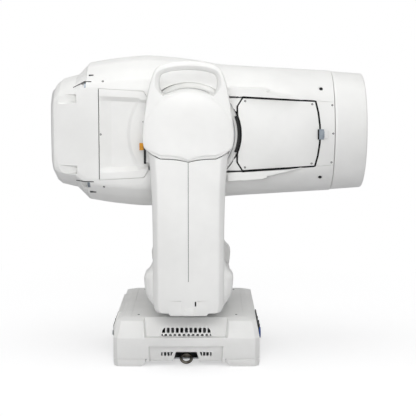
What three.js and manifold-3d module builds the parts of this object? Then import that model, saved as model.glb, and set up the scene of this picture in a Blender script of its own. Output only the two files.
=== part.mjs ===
// Moving-head follow spot: base, yoke and head, as separate named pieces.
// Units are millimetres. +Z is up, +X is the way the beam points at rest, +Y is the left side of the lamp.
// The origin is on the pan axis, on the flat underside of the base chassis.
import * as THREE from "three";
import { mergeVertices } from "three/addons/utils/BufferGeometryUtils.js";
import { ConvexGeometry } from "three/addons/geometries/ConvexGeometry.js";
import Module from "manifold-3d";

// ---------------------------------------------------------------- driving dimensions
const FLOOR = -12; // underside of the corner feet
const T = 518; // height of the tilt axis
const BASE = { x0: -174, x1: 163, y: 208, top: 97 };
const ARM_IN = 164; // inner face of each yoke arm, from the centre plane
const ARM_OUT = 252; // outermost face of the tilt hub caps
const CAP_R = 102; // radius of the tilt hub cap
const WALL = 3; // wall of the moulded covers
const HEAD_W = 154; // half width of the head
const HOLE_R = 119; // round opening in the head's sides around the tilt axis
const REAR = -327,
  BODY_FRONT = 336,
  HOOD_FRONT = 412;
const PAN_RATIO = 6,
  TILT_RATIO = 5;

const wasm = await Module();
wasm.setup();
const { Manifold, Mesh } = wasm;

// ---------------------------------------------------------------- colours
const paint = (color, roughness, metalness = 0) =>
  new THREE.MeshStandardMaterial({ color, roughness, metalness });
const WHITE = paint(0xf1f1f2, 0.42);
const BLACK = paint(0x17181a, 0.5);
const STEEL = paint(0x8b8f94, 0.38, 1);
const ALU = paint(0xb9bdc2, 0.42, 1);
const RUBBER = paint(0x202124, 0.85);
const GLASS = paint(0xcfdde6, 0.05);
const YELLOW = paint(0xf0a818, 0.5);
const PCB = paint(0x1f5a3a, 0.6);

// ---------------------------------------------------------------- helpers
function solid(geometry) {
  const g = (geometry.index ? geometry.toNonIndexed() : geometry.clone());
  for (const k of Object.keys(g.attributes)) if (k !== "position") g.deleteAttribute(k);
  const m = mergeVertices(g, 1e-4);
  const triVerts = new Uint32Array(m.index.array);
  const keep = [];
  for (let i = 0; i < triVerts.length; i += 3) {
    const [a, b, c] = [triVerts[i], triVerts[i + 1], triVerts[i + 2]];
    if (a !== b && b !== c && a !== c) keep.push(a, b, c);
  }
  let s = new Manifold(new Mesh({ numProp: 3, vertProperties: new Float32Array(m.attributes.position.array), triVerts: new Uint32Array(keep) }));
  if (s.volume() < 0) {
    const back = new Uint32Array(keep);
    for (let i = 0; i < back.length; i += 3) [back[i + 1], back[i + 2]] = [back[i + 2], back[i + 1]];
    s = new Manifold(new Mesh({ numProp: 3, vertProperties: new Float32Array(m.attributes.position.array), triVerts: back }));
  }
  return s;
}
const box = (x0, x1, y0, y1, z0, z1) =>
  solid(new THREE.BoxGeometry(x1 - x0, y1 - y0, z1 - z0).translate((x0 + x1) / 2, (y0 + y1) / 2, (z0 + z1) / 2));
// A cylinder along "x", "y" or "z" from a to b, centred at (u, v) in the other two axes, in X, Y, Z order.
function cyl(axis, r, a, b, u = 0, v = 0, seg = 20, r2 = r) {
  const g = new THREE.CylinderGeometry(r2, r, b - a, seg); // along +Y, r at the low end
  g.translate(0, (a + b) / 2, 0);
  if (axis === "y") g.translate(u, 0, v);
  if (axis === "z") g.rotateX(Math.PI / 2).translate(u, v, 0);
  if (axis === "x") g.rotateZ(-Math.PI / 2).translate(0, u, v);
  return solid(g);
}
const ring = (axis, ro, ri, a, b, u = 0, v = 0, seg = 20) =>
  cyl(axis, ro, a, b, u, v, seg).subtract(cyl(axis, ri, a - 1, b + 1, u, v, seg));
// A flat outline pushed along an axis: "y" takes (x, z) points, "z" takes (x, y), "x" takes (y, z).
function prism(points, axis, a, b, holes = []) {
  const flat = points.map((p) => new THREE.Vector2(p[0], p[1]));
  const shape = new THREE.Shape(THREE.ShapeUtils.isClockWise(flat) ? flat.reverse() : flat);
  for (const h of holes) shape.holes.push(new THREE.Path(h.map((p) => new THREE.Vector2(p[0], p[1]))));
  const g = new THREE.ExtrudeGeometry(shape, { depth: b - a, bevelEnabled: false, steps: 1 });
  const m = new THREE.Matrix4();
  if (axis === "z") m.makeTranslation(0, 0, a);
  if (axis === "y") m.set(1, 0, 0, 0, 0, 0, -1, b, 0, 1, 0, 0, 0, 0, 0, 1);
  if (axis === "x") m.set(0, 0, 1, a, 1, 0, 0, 0, 0, 1, 0, 0, 0, 0, 0, 1);
  return solid(g.applyMatrix4(m));
}
// A closed skin over rings of equal point count; the end rings are star-shaped about their middles.
function loft(rings) {
  const n = rings[0].length,
    v = [],
    push = (...ps) => ps.forEach((p) => v.push(...p));
  for (let i = 0; i + 1 < rings.length; i++)
    for (let j = 0; j < n; j++) {
      const k = (j + 1) % n,
        [a, b, c, d] = [rings[i][j], rings[i][k], rings[i + 1][k], rings[i + 1][j]];
      push(a, b, c, a, c, d);
    }
  for (const [r, flip] of [[rings[0], true], [rings[rings.length - 1], false]]) {
    const mid = [0, 1, 2].map((q) => r.reduce((s, p) => s + p[q], 0) / n);
    for (let j = 0; j < n; j++) {
      const a = r[j], b = r[(j + 1) % n];
      flip ? push(mid, b, a) : push(mid, a, b);
    }
  }
  const g = new THREE.BufferGeometry();
  g.setAttribute("position", new THREE.BufferAttribute(new Float32Array(v), 3));
  return solid(g);
}
const hull = (pts) => solid(new ConvexGeometry(pts.map((p) => new THREE.Vector3(...p))));
// A profile of [along, radius] turned about the X axis through height z.
function turned(profile, z = T, seg = 40) {
  const g = new THREE.LatheGeometry(profile.map(([a, r]) => new THREE.Vector2(r, a)), seg);
  g.rotateZ(-Math.PI / 2).translate(0, 0, z);
  return solid(g);
}
const mirrorY = (m) => m.mirror([0, 1, 0]);
const union = (...ms) => ms.reduce((a, b) => a.add(b));

const root = new THREE.Group();
const base = new THREE.Group(), yoke = new THREE.Group(), head = new THREE.Group();
root.add(base, yoke, head);
function put(group, name, m, material) {
  const mesh = m.getMesh(), n = mesh.numProp, pos = new Float32Array(mesh.numVert * 3);
  for (let i = 0; i < mesh.numVert; i++) pos.set(mesh.vertProperties.subarray(i * n, i * n + 3), i * 3);
  const g = new THREE.BufferGeometry();
  g.setAttribute("position", new THREE.BufferAttribute(pos, 3));
  g.setIndex(new THREE.BufferAttribute(new Uint32Array(mesh.triVerts), 1));
  g.computeVertexNormals();
  const out = new THREE.Mesh(g, material);
  out.name = name;
  group.add(out);
}

// ================================================================ BASE
// An eight-sided plan outline with cut corners.
const plan = (x0, x1, y, c, z) => [
  [x0 + c, -y, z], [x1 - c, -y, z], [x1, -y + c, z], [x1, y - c, z],
  [x1 - c, y, z], [x0 + c, y, z], [x0, y - c, z], [x0, -y + c, z],
];
const { x0: BX0, x1: BX1, y: BY } = BASE;
let bo = loft([plan(BX0, BX1, BY, 10, -2), plan(BX0, BX1, BY, 10, 54), plan(BX0 + 8, BX1 - 8, BY - 18, 10, 91), plan(BX0 + 24, BX1 - 24, BY - 38, 12, BASE.top)]);
// The display side bulges out between the corners.
const pod = (s, xw, xb, d = 0) => hull([-1, 1].flatMap((k) => [
  [s * (xw - d), k * (112 - d), -2 - d], [s * (xw - d), k * (112 - d), 60 - d], [s * (xb - 8 - d), k * (104 - d), 94 - d],
  [s * 120, k * (128 - d), -2 - d], [s * 120, k * (128 - d), 60 - d], [s * 120, k * (112 - d), 94 - d],
]));
bo = bo.add(pod(-1, 180, 177));
let bi = loft([plan(BX0 + WALL, BX1 - WALL, BY - WALL, 9, -6), plan(BX0 + WALL, BX1 - WALL, BY - WALL, 9, 53), plan(BX0 + 11, BX1 - 11, BY - 21, 9, 88.5), plan(BX0 + 27, BX1 - 27, BY - 41, 11, BASE.top - WALL)]);
bi = bi.add(pod(-1, 180, 177, WALL));
// Sculpted recesses in the middle of the two long faces: the upper one holds the air grille, the lower one the cable eye.
const upper = (s) => hull([[-104, s * 215, 55], [92, s * 215, 55], [-98, s * 191, 55.1], [84, s * 191, 55.1], [-108, s * 215, 110], [96, s * 215, 110], [-102, s * 176, 93], [88, s * 176, 93], [-104, s * 168, 110], [90, s * 168, 110]]);
const lower = (s) => hull([[-92, s * 215, -10], [78, s * 215, -10], [-92, s * 197, -10], [78, s * 197, -10], [-96, s * 215, 37], [82, s * 215, 37], [-92, s * 200, 34], [78, s * 200, 34]]);
const upperIn = (s) => hull([[-108, s * 215, 52], [96, s * 215, 52], [-102, s * 187.5, 52.1], [88, s * 187.5, 52.1], [-112, s * 215, 112], [100, s * 215, 112], [-106, s * 172, 92], [92, s * 172, 92], [-108, s * 164, 112], [94, s * 164, 112]]);
const lowerIn = (s) => hull([[-96, s * 215, -12], [82, s * 215, -12], [-96, s * 193.5, -12], [82, s * 193.5, -12], [-100, s * 215, 40], [86, s * 215, 40], [-96, s * 196.5, 37.5], [82, s * 196.5, 37.5]]);
for (const s of [-1, 1]) {
  bo = bo.subtract(upper(s)).subtract(lower(s));
  bi = bi.subtract(upperIn(s)).subtract(lowerIn(s));
}
const archAt = (s) => prism([[-38, -8], [26, -8], [18, 20], [-30, 20]], "y", s > 0 ? 188 : -204, s > 0 ? 204 : -188);
let cover = bo.subtract(bi).subtract(cyl("z", 64, 60, 110, 0, 0, 40)).subtract(archAt(1)).subtract(archAt(-1));
// Air slots in both long faces.
for (const s of [-1, 1]) for (let i = 0; i < 7; i++) cover = cover.subtract(box(-63 + i * 16, -54 + i * 16, s > 0 ? 168 : -196, s > 0 ? 196 : -168, 61, 80));
// The corners below z = 6 belong to the feet.
for (const s of [-1, 1]) for (const [a, b] of [[-200, -97], [83, 200]]) cover = cover.subtract(box(a, b, s > 0 ? 140 : -215, s > 0 ? 215 : -140, -10, 6));
cover = cover.subtract(box(-200, -168, -141, 141, -10, -0.5)).subtract(box(157, 200, -141, 141, -10, -0.5));
put(base, "base_cover", cover, WHITE);

// Chassis: floor plate and the pillar that carries the pan bearing.
const notch = (k) => [[-104, k * 203.5], [-101.5, k * 192], [-40, k * 192], [-34, k * 184], [22, k * 184], [28, k * 192], [87.5, k * 192], [90, k * 203.5]];
const plateOutline = [[-146, -203.5], ...notch(-1), [136, -203.5], [158.5, -180], [158.5, 180], [136, 203.5], ...notch(1).reverse(), [-146, 203.5], [-169.5, 180], [-169.5, -180]];
let chassis = prism(plateOutline, "z", 0, 3).add(ring("z", 34, 27, 2.5, 50, 0, 0, 28)).add(ring("z", 34, 31, 49, 66, 0, 0, 28));
for (const x of [-75, 75]) for (const y of [-120, 120]) chassis = chassis.subtract(cyl("z", 9.5, -1, 5, x, y, 16));
put(base, "base_chassis", chassis, ALU);
// Corner feet: a floor pad below the chassis with a skirt that closes the cover's corner.
for (const [name, sx, sy] of [["foot_front_right", 1, -1], ["foot_front_left", 1, 1], ["foot_rear_right", -1, -1], ["foot_rear_left", -1, 1]]) {
  const xo = sx > 0 ? 163 : -174, xi = sx > 0 ? 86 : -100, c = sx * 10;
  const out = [[xi, 207.6], [xo - c, 207.6], [xo, 197.6], [xo, 142], [xi, 142]].map(([x, y]) => [x, sy * y]);
  const low = [[xi + sx * 9, 206], [xo - c - sx * 1, 206], [xo - sx * 2, 196.6], [xo - sx * 2, 142], [xi + sx * 9, 142]].map(([x, y]) => [x, sy * y]);
  let f = loft([low.map(([x, y]) => [x, y, FLOOR]), out.map(([x, y]) => [x, y, -4]), out.map(([x, y]) => [x, y, 5.7])]);
  const xl = xo - sx * 3.2;
  f = f.subtract(prism([[xl, sy * 100], [xl, sy * 196], [xl - c * 0.96, sy * 204.4], [xi - sx * 20, sy * 204.4], [xi - sx * 20, sy * 100]], "z", -0.4, 20));
  put(base, name, f, WHITE);
}
// Pan bearing, drive motor, belt and pulleys.
put(base, "pan_bearing", ring("z", 30.7, 24.4, 50.4, 65.6, 0, 0, 28), STEEL);
put(yoke, "pan_driven_pulley", ring("z", 60, 24.4, 70, 82, 0, 0, 32), ALU);
put(base, "pan_motor", box(-28, 28, 84, 140, 4, 66).add(cyl("z", 4, 65, 86, 0, 112, 16)), BLACK);
put(base, "pan_drive_pulley", ring("z", 10, 4.35, 70, 82, 0, 112, 24), ALU);
function beltLoop(d, R, r, t) {
  // outline of a belt round a wheel R at 0 and a wheel r at distance d along +u
  const a = Math.acos((R - r) / d), big = [], small = [];
  for (let i = 0; i <= 20; i++) { const q = a + (i / 20) * (2 * Math.PI - 2 * a); big.push([(R + t) * Math.cos(q), (R + t) * Math.sin(q)]); }
  for (let i = 0; i <= 8; i++) { const q = -a + (i / 8) * 2 * a; small.push([d + (r + t) * Math.cos(q), (r + t) * Math.sin(q)]); }
  return [...big, ...small];
}
const belt = (d, R, r, place) => [beltLoop(d, R, r, 2.2), beltLoop(d, R, r, 0.5)].map((l) => l.map(place));
{
  const [o, i] = belt(112, 60, 10, ([u, v]) => [-v, u]);
  put(base, "pan_belt", prism(o, "z", 71, 81).subtract(prism(i, "z", 70, 82)), RUBBER);
}
put(base, "power_supply", box(-160, -60, -150, -20, 4, 48), ALU);
// Display panel, menu wheel and enter button on the rear pod; connectors and mains switch on the opposite side.
put(base, "display_panel", box(-183.5, -180.3, -78, 78, 10, 56).subtract(cyl("x", 9, -192, -172, 58, 33, 24)).subtract(cyl("x", 6.5, -192, -172, -60, 33, 20)), BLACK);
put(base, "menu_wheel", cyl("x", 8.6, -190, -180.6, 58, 33, 24, 8.6), BLACK);
put(base, "enter_button", cyl("x", 6.1, -187, -183.7, -60, 33, 20).add(cyl("x", 4, -184, -182.2, -60, 33, 16)), ALU);
const inletCut = cyl("x", 13.3, 159, 179, -64, 34, 20), d1 = cyl("x", 12.3, 159, 179, -22, 34, 20), d2 = cyl("x", 12.3, 159, 179, 18, 34, 20), sw = box(159, 179, 52.7, 73.3, 22.7, 45.3);
put(base, "connector_panel", box(163.3, 166, -90, 90, 8, 58).subtract(inletCut).subtract(d1).subtract(d2).subtract(sw), BLACK);
const socket = (r, y, inner) => cyl("x", r, 163.3, 171, y, 34, 20).subtract(cyl("x", inner, 164.8, 179, y, 34, 20));
put(base, "power_inlet", socket(13, -64, 10), paint(0x2a4f9a, 0.45));
put(base, "data_in", socket(12, -22, 9.2), BLACK);
put(base, "data_out", socket(12, 18, 9.2), BLACK);
put(base, "power_switch", hull([53, 73].flatMap((y) => [[164.2, y, 30], [164.2, y, 38], [166.2, y, 23.2], [166.2, y, 44.8], [168, y, 23.6], [170, y, 44.4], [167.6, y, 34]])), BLACK);
// Safety cable eye: a steel ring and its bracket in the tunnel of the near face.
{
  const eye = new THREE.TorusGeometry(12, 3.5, 8, 20).rotateX(0.67).translate(-6, -194.5, 4);
  put(base, "safety_eye", solid(eye).add(box(-13, 1, -187, -170, 3.3, 13)), STEEL);
}

// ================================================================ YOKE
const armSides = [[-1, "right"], [1, "left"]];
// Structural frame: turntable, hollow spindle, cross beam and two arm plates.
let frame = cyl("z", 92, 100, 112, 0, 0, 36).add(cyl("z", 24, 44, 101, 0, 0, 28)).add(box(-50, 50, -199, 199, 128, 149)).add(cyl("z", 48, 111, 129, 0, 0, 28)).subtract(cyl("z", 17, 40, 140, 0, 0, 20));
for (const s of [-1, 1]) {
  const a = s > 0 ? 191 : -199, b = s > 0 ? 199 : -191;
  frame = frame.add(prism([[-50, 128], [50, 128], [50, 480], [44, 560], [22, 575], [-22, 575], [-44, 560], [-50, 480]], "y", a, b)).subtract(cyl("y", 30.3, a - 2, b + 2, 0, T, 28));
}
frame = frame.subtract(box(-29, 29, 190, 200, 349, 407)); // seat of the tilt motor
put(yoke, "yoke_frame", frame, ALU);
// Tilt bearings, driven pulley, belt, motor and drive pulley in the left arm.
for (const [s, side] of armSides) put(yoke, `tilt_bearing_${side}`, ring("y", 30, 20.3, s > 0 ? 190 : -202, s > 0 ? 202 : -190, 0, T, 28), STEEL);
put(yoke, "tilt_motor", box(-28, 28, 188, 240, 350, 406).add(cyl("y", 4, 171, 189, 0, 378, 16)), BLACK);
put(yoke, "tilt_drive_pulley", ring("y", 14, 4.35, 172, 184, 0, 378, 24), ALU);
{
  const [o, i] = belt(140, 70, 14, ([u, v]) => [v, T - u]);
  put(yoke, "tilt_belt", prism(o, "y", 173, 183).subtract(prism(i, "y", 172, 184)), RUBBER);
}
// Cross beam cover between the arms, bowl-shaped below.
const rr = (hx, hy, c, z) => plan(-hx, hx, hy, c, z);
let cross = loft([rr(64, 163.6, 14, 114), rr(82, 163.6, 20, 128), rr(97, 163.6, 24, 148), rr(100, 163.6, 24, 160), rr(95, 163.6, 22, 168)]);
let crossIn = loft([rr(60, 170, 12, 110), rr(78.5, 170, 18, 129), rr(93, 170, 22, 148.5), rr(96, 170, 22, 159), rr(92, 170, 20, 164.5)]);
cross = cross.subtract(crossIn).subtract(cyl("z", 93, 90, 116, 0, 0, 36));
put(yoke, "crossbar_cover", cross, WHITE);

// Hub cap with its carrying handle; the same outline closes the top of each arm.
const capOutline = [[0, 686], [38, 683.5], [64, 675], [74, 665], [80, 650], [85.5, 632], [91, 606], [96.5, 572], [101, 536], [102, 512], [98, 496], [84, 487], [62, 477], [30, 475], [12, 470], [0, 465]];
const capFull = [...capOutline, ...capOutline.slice(1, -1).reverse().map(([x, z]) => [-x, z])];
const handleHole = [[0, 666], [34, 663.5], [58, 657], [63, 648], [64, 630], [57, 609], [40, 617.5], [20, 623.5], [0, 625.5]];
const holeFull = [...handleHole, ...handleHole.slice(1, -1).reverse().map(([x, z]) => [-x, z])];
const inset = (pts, d, cz) => pts.map(([x, z]) => { const l = Math.hypot(x, z - cz); return [x * (1 - d / l), cz + (z - cz) * (1 - d / l)]; });
const capR = (() => {
  const full = (a, b) => prism(capFull, "y", a, b, [holeFull]);
  const low = box(-120, 120, -260, -160, 440, 612), hi = box(-120, 120, -260, -160, 606, 700);
  const disc = cyl("y", CAP_R - 4, -ARM_OUT, -244, 0, T, 40, CAP_R).add(cyl("y", CAP_R, -246, -164.4, 0, T, 40));
  const outer = full(-246, -164.4).intersect(low).add(disc.intersect(prism(capFull, "y", -260, -160).add(box(-120, 120, -260, -160, 560, 640)))).subtract(prism(holeFull, "y", -260, -160).intersect(box(-120, 120, -260, -160, 626, 700)));
  const room = (y) => prism(inset(capFull, 5, T), "y", y, -150).intersect(box(-120, 120, -260, -150, 440, 603));
  const inner = room(-242).add(room(-247).intersect(cyl("y", CAP_R - 5, -250, -140, 0, T, 40)));
  const handle = full(-246, -214).intersect(hi);
  return outer.add(handle).subtract(inner).subtract(box(-120, 120, -200, -150, 612, 700)).subtract(box(-80, 80, -214, -150, 440, 500));
})();
// Arm cover: a tapered channel below the cap, wider at its root.
const armR = (() => {
  const o = (x, yo, c, z) => [[-x, -164.4, z], [x, -164.4, z], [x, -(yo - c), z], [x - c * 0.8, -yo, z], [-x + c * 0.8, -yo, z], [-x, -(yo - c), z]];
  const shell = loft([o(66, 244, 12, 114), o(80, 247, 14, 160), o(80, 247, 14, 250), o(82, 246, 16, 380), o(90, 243, 18, 500)]);
  const cavity = loft([o(63, 240.5, 12, 117.5), o(76.5, 243.5, 13, 160), o(76.5, 243.5, 13, 250), o(78.5, 242.5, 15, 380), o(86.5, 239.5, 17, 502)].map((r) => r.map(([x, y, z]) => [x, y === -164.4 ? -150 : y, z])));
  const flare = (x, d) => loft([[66 - d, 114], [80 - d, 130], [90 - d, 144], [98 - d, 159], [100.5 - d, 178], [102 - d, 197], [98 - d, 205], [91 - d, 212], [85.5 - d, 222], [81 - d, 234]].map(([fx, z], i) => [[-fx, -164.4 + (d ? 20 : 0), z], [fx, -164.4 + (d ? 20 : 0), z], [fx, -(212 - d), z], [fx - 16, -(226 - d), z], [-fx + 16, -(226 - d), z], [-fx, -(212 - d), z]]));
  let a = shell.add(flare(0, 0)).subtract(cavity).subtract(flare(0, 3.5).intersect(box(-120, 120, -240, -167.4, 118, 230)));
  // the arm ends under the cap's pointed lower edge
  a = a.subtract(prism([...capFull.map(([x, z]) => [x * 1.02, z - 0.6])], "y", -260, -150)).subtract(box(-120, 120, -260, -150, 495, 620)).subtract(box(-50.6, 50.6, -210, -150, 118, 150.4));
  const parts = a.decompose().sort((p, q) => q.volume() - p.volume());
  return parts[0];
})();
const innerR = (() => {
  const o = [[-76, 170], [76, 170], [76, 240], [78, 380], [84, 450], [84, 590], [50, 604], [-50, 604], [-84, 590], [-84, 450], [-78, 380], [-76, 240]];
  return prism(o, "y", -164, -161.4).add(cyl("y", 104, -164, -146, 0, T, 36)).subtract(cyl("y", 100.5, -165, -149.5, 0, T, 36)).subtract(cyl("y", 40, -170, -140, 0, T, 24));
})();
for (const [s, side] of armSides) {
  const f = s > 0 ? mirrorY : (m) => m;
  put(yoke, `${side}_arm_cap`, f(capR), WHITE);
  put(yoke, `${side}_arm_cover`, f(s < 0 ? armR.subtract(box(-8, 8, -250, -160, 112, 117)) : armR), WHITE);
  put(yoke, `${side}_arm_inner_cover`, f(innerR), WHITE);
}
// Tilt lock tab on the rear of the right arm and pan lock tab behind the cross beam.
put(yoke, "tilt_lock_slider", box(-112, -102.6, -178, -169, 484, 500), YELLOW);
put(yoke, "pan_lock_slider", box(-107, -100.5, -9, 9, 148, 160), YELLOW);

// ================================================================ HEAD
// Half widths of the body: eight points of one quarter, from the top middle to the side middle.
const mid8 = [[0, 1], [0.28, 0.985], [0.55, 0.945], [0.78, 0.83], [0.97, 0.69], [1, 0.585], [1, 0.3], [1, 0]];
const ang8 = [90, 74, 58, 46, 37, 31, 15, 0].map((d) => (d * Math.PI) / 180);
const STATIONS = [
  // x, half height, half width, roundness
  [-327, 104, 134, 0.25], [-322, 116, 144, 0.15], [-312, 128, 151, 0.05], [-262, 135, HEAD_W, 0], [-235, 164, HEAD_W, 0], [-172, 174, HEAD_W, 0], [-100, 180, HEAD_W, 0],
  [-40, 176, HEAD_W, 0], [10, 170, HEAD_W, 0.05], [72, 160, HEAD_W, 0.2], [206, 152, 151, 0.6], [BODY_FRONT, 145, 145, 1],
];
function section(x, h, w, t, d = 0) {
  const q = mid8.map(([a, b], i) => {
    const ya = a * w, za = b * h, yb = w * Math.cos(ang8[i]), zb = h * Math.sin(ang8[i]);
    return [ya + (yb - ya) * t, za + (zb - za) * t];
  });
  const ring = [...q, ...q.slice(0, -1).reverse().map(([y, z]) => [y, -z]), ...q.slice(1).map(([y, z]) => [-y, -z]), ...q.slice(1, -1).reverse().map(([y, z]) => [-y, z])];
  return ring.map(([y, z]) => { const l = Math.hypot(y, z); return [x, y * (1 - d / l), T + z * (1 - d / l)]; });
}
const skin = loft(STATIONS.map((s) => section(...s)));
const inside = loft([[-323, 100, 130, 0.25], [-318, 113, 141, 0.15], ...STATIONS.slice(2, -1), [BODY_FRONT + 6, 145, 145, 1]].map((s, i) => section(...s, i < 2 ? 0 : WALL)));
const shell = skin.subtract(inside);
const seam = (x, up) => T + up * (105 - ((x + 206) * (105 - 73)) / (BODY_FRONT + 206));
const G = 0.25; // half of a panel gap
const sidePlate = [[-206, 105], [-103, 99], [-92, 81], [-92, -81], [-103, -99], [-206, -105]];
const doorPlate = [[123, 86], [292, 76.5], [298, 50], [302, 20], [302, -20], [298, -50], [292, -76.5], [123, -86], [110, -66], [110, -46], [115, -30], [118.5, -11], [118.5, 11], [115, 30], [110, 46], [110, 66]];
const frontPlate = [[292, 76.5], [336, 73], [336, -73], [292, -76.5], [298, -50], [302, -20], [302, 20], [298, 50]];
const up = (pts) => pts.map(([x, z]) => [x, z + T]);
const grow = (pts, d) => { const cx = pts.reduce((s, p) => s + p[0], 0) / pts.length; return pts.map(([x, z]) => [x + Math.sign(x - cx) * d, z + Math.sign(z) * d]); };
const rearZone = box(-340, -235.3, -200, 200, T - 200, T + 200).add(box(-340, -206.3, -200, 200, T - 104.6, T + 104.6));
const sideZones = union(prism(up(grow(sidePlate, 0.4)), "y", -200, 200), box(-240, -205, -200, 200, T - 105, T + 105), prism(up([[108, 88], [BODY_FRONT + 4, 73.6], [BODY_FRONT + 4, -73.6], [108, -88]]), "y", -200, 200), cyl("y", HOLE_R, -200, 200, 0, T, 40));
let above = box(-235, 400, -200, 200, T + 0.2, T + 300), below = box(-235, 400, -200, 200, T - 300, T - 0.2);
put(head, "head_top_cover", shell.intersect(above).subtract(sideZones), WHITE);
put(head, "head_bottom_cover", shell.intersect(below).subtract(sideZones), WHITE);
// Scoops beside the yoke hubs: the side covers are thicker there.
const scoop = hull([[-208, -155, T + 72], [-208, -155, T - 72], [-90, -155, T + 92], [-90, -155, T - 92], [-208, -153.5, T + 71], [-208, -153.5, T - 71], [-146, -142, T + 72], [-146, -142, T - 72], [-90, -142, T + 74], [-90, -142, T - 74], [-208, -156, T + 72], [-208, -156, T - 72], [-90, -158, T + 94], [-90, -158, T - 94]]);
const scoopIn = hull([[-206, -154, T + 76], [-206, -154, T - 76], [-80, -154, T + 90], [-80, -154, T - 90], [-146, -138.6, T + 76], [-146, -138.6, T - 76], [-80, -138.6, T + 78], [-80, -138.6, T - 78], [-206, -150, T + 76], [-206, -150, T - 76], [-80, -162, T + 96], [-80, -162, T - 96]]);
const sideR = (() => {
  const region = prism(up(grow(sidePlate, -G)), "y", -200, -100);
  return skin.intersect(region).subtract(scoop).subtract(inside.subtract(scoopIn)).subtract(cyl("y", HOLE_R - 14, -200, -100, 0, T, 36));
})();
const biggest = (m) => m.decompose().sort((p, q) => q.volume() - p.volume())[0];
const doorR = shell.intersect(prism(up(grow(doorPlate, -1)), "y", -200, -100));
const frontR = shell.intersect(prism(up(frontPlate.map(([x, z]) => [x < 303 ? x + 1.2 : x - G, z - Math.sign(z) * 0.5])), "y", -200, -100));
for (const [s, side] of armSides) {
  const f = s > 0 ? mirrorY : (m) => m;
  put(head, `${side}_side_cover`, f(biggest(sideR)), WHITE);
  put(head, `${side}_service_door`, f(biggest(doorR)), WHITE);
  put(head, `${side}_front_panel`, f(biggest(frontR)), WHITE);
  // Safety catch of the door: a leaf with a barrel at its front end.
  put(head, `${side}_door_latch`, f(box(293, 318, -149.8, -147.5, T - 11, T + 11).add(cyl("z", 2.5, T - 11, T + 11, 318, -148.8, 12))), STEEL);
}
// Rear cover with its air openings.
let rearCover = biggest(shell.intersect(rearZone));
for (const k of [-2, -1, 0, 1, 2]) rearCover = rearCover.subtract(box(-335, -315, -62, 62, T + k * 26 - 7, T + k * 26 + 7));
put(head, "rear_cover", rearCover, WHITE);
// Front hood, lens and retaining ring.
put(head, "front_hood", turned([[337, 128], [337, 142], [352, 141], [408, 137], [HOOD_FRONT, 134], [HOOD_FRONT, 128], [371.7, 128], [371.7, 118], [366, 118], [362, 128], [337, 128]], T, 32), WHITE);
put(head, "lens_retainer", turned([[386.7, 118], [384.5, 127.6], [392, 127.6], [392, 118], [386.7, 118]], T, 32), BLACK);
put(head, "front_lens", turned([[372, 0], [372, 127.4], [384, 127.4], [388, 110], [393.5, 72], [397, 0]], T, 32), GLASS);

// Chassis of the head: side rails, bulkheads, guide rods and the two tilt axles.
let hc = union(box(-196, -192, -120, 120, T - 84, T + 84).subtract(cyl("x", 52, -200, -190, 0, T, 24)),
  box(-74, -70, -120, 120, T - 84, T + 84).subtract(cyl("x", 30, -80, -60, 0, T, 20)),
  cyl("x", 4, -71, -56, 0, T + 60, 12), cyl("x", 4, -71, -46, 0, T - 60, 12),
  box(322, 328, -112, 112, T - 60, T + 60).subtract(cyl("x", 52, 320, 330, 0, T, 24)));
for (const s of [-1, 1]) {
  const at = (a, b) => (s > 0 ? [a, b] : [-b, -a]);
  hc = union(hc, box(-196, -20, ...at(120, 124), T - 84, T + 84), box(-21, 328, ...at(120, 124), T - 26, T + 26),
    cyl("y", 118, ...at(138.4, 141), 0, T, 36).intersect(box(-90.5, 120, -150, 150, T - 120, T + 120)),
    cyl("y", 56, ...at(123, 141), 0, T, 28), cyl("y", 19.9, ...at(140, 230), 0, T, 28),
    cyl("x", 4, -72, 325, s * 88, T, 12));
}
put(head, "head_chassis", hc, ALU);
put(head, "tilt_driven_pulley", ring("y", 70, 20.3, 172, 184, 0, T, 32), ALU);
// Light engine and heat sink behind it.
put(head, "light_engine", union(box(-191.7, -140, -58, 58, T - 58, T + 58), cyl("x", 44, -141, -112, 0, T, 28)), BLACK);
{
  const comb = [];
  for (let i = 0; i < 10; i++) { const y = -60 + i * 12.5; comb.push([y, T + 62], [y + 4, T + 62]); if (i < 9) comb.push([y + 4, T - 50], [y + 12.5, T - 50]); }
  comb.push([56.5, T - 62], [-60, T - 62]);
  put(head, "heatsink", union(prism(comb, "x", -284, -198), cyl("x", 50, -199, -192, 0, T, 28), cyl("x", 4, -302, -283, 0, T, 12)), ALU);
}
// Cooling fan rotor.
{
  let fan = cyl("x", 22, -308, -290, 0, T, 24);
  for (let i = 0; i < 7; i++) {
    const g = new THREE.BoxGeometry(3, 42, 22).rotateY(0.6).translate(-299, 38, 0).rotateX((i * 2 * Math.PI) / 7).translate(0, 0, T);
    fan = fan.add(solid(g));
  }
  put(head, "cooling_fan", fan.subtract(cyl("x", 4.5, -320, -280, 0, T, 12)), BLACK);
}
// Colour wheel and gobo wheel: discs of round windows, each crossing the beam.
function wheel(x, cz, thick2, holes, r) {
  let w = cyl("x", 80, x, x + thick2, 0, cz, 30).subtract(cyl("x", 4.4, x - 1, x + 5, 0, cz, 12));
  for (let i = 0; i < holes; i++) { const a = (i / holes) * 2 * Math.PI - Math.PI / 2; w = w.subtract(cyl("x", r, x - 1, x + thick2 + 1, 60 * Math.cos(a), cz + 60 * Math.sin(a), 10)); }
  return w;
}
put(head, "colour_wheel", wheel(-62, T + 60, 1.6, 6, 16), STEEL);
put(head, "gobo_wheel", mirrorY(wheel(-52, T - 60, 1.6, 6, 14)), STEEL);
put(head, "iris_ring", union(ring("x", 44, 22, -40, -34, 0, T, 28), box(-40, -34, -4, 4, T + 42, T + 62)), BLACK);
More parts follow.
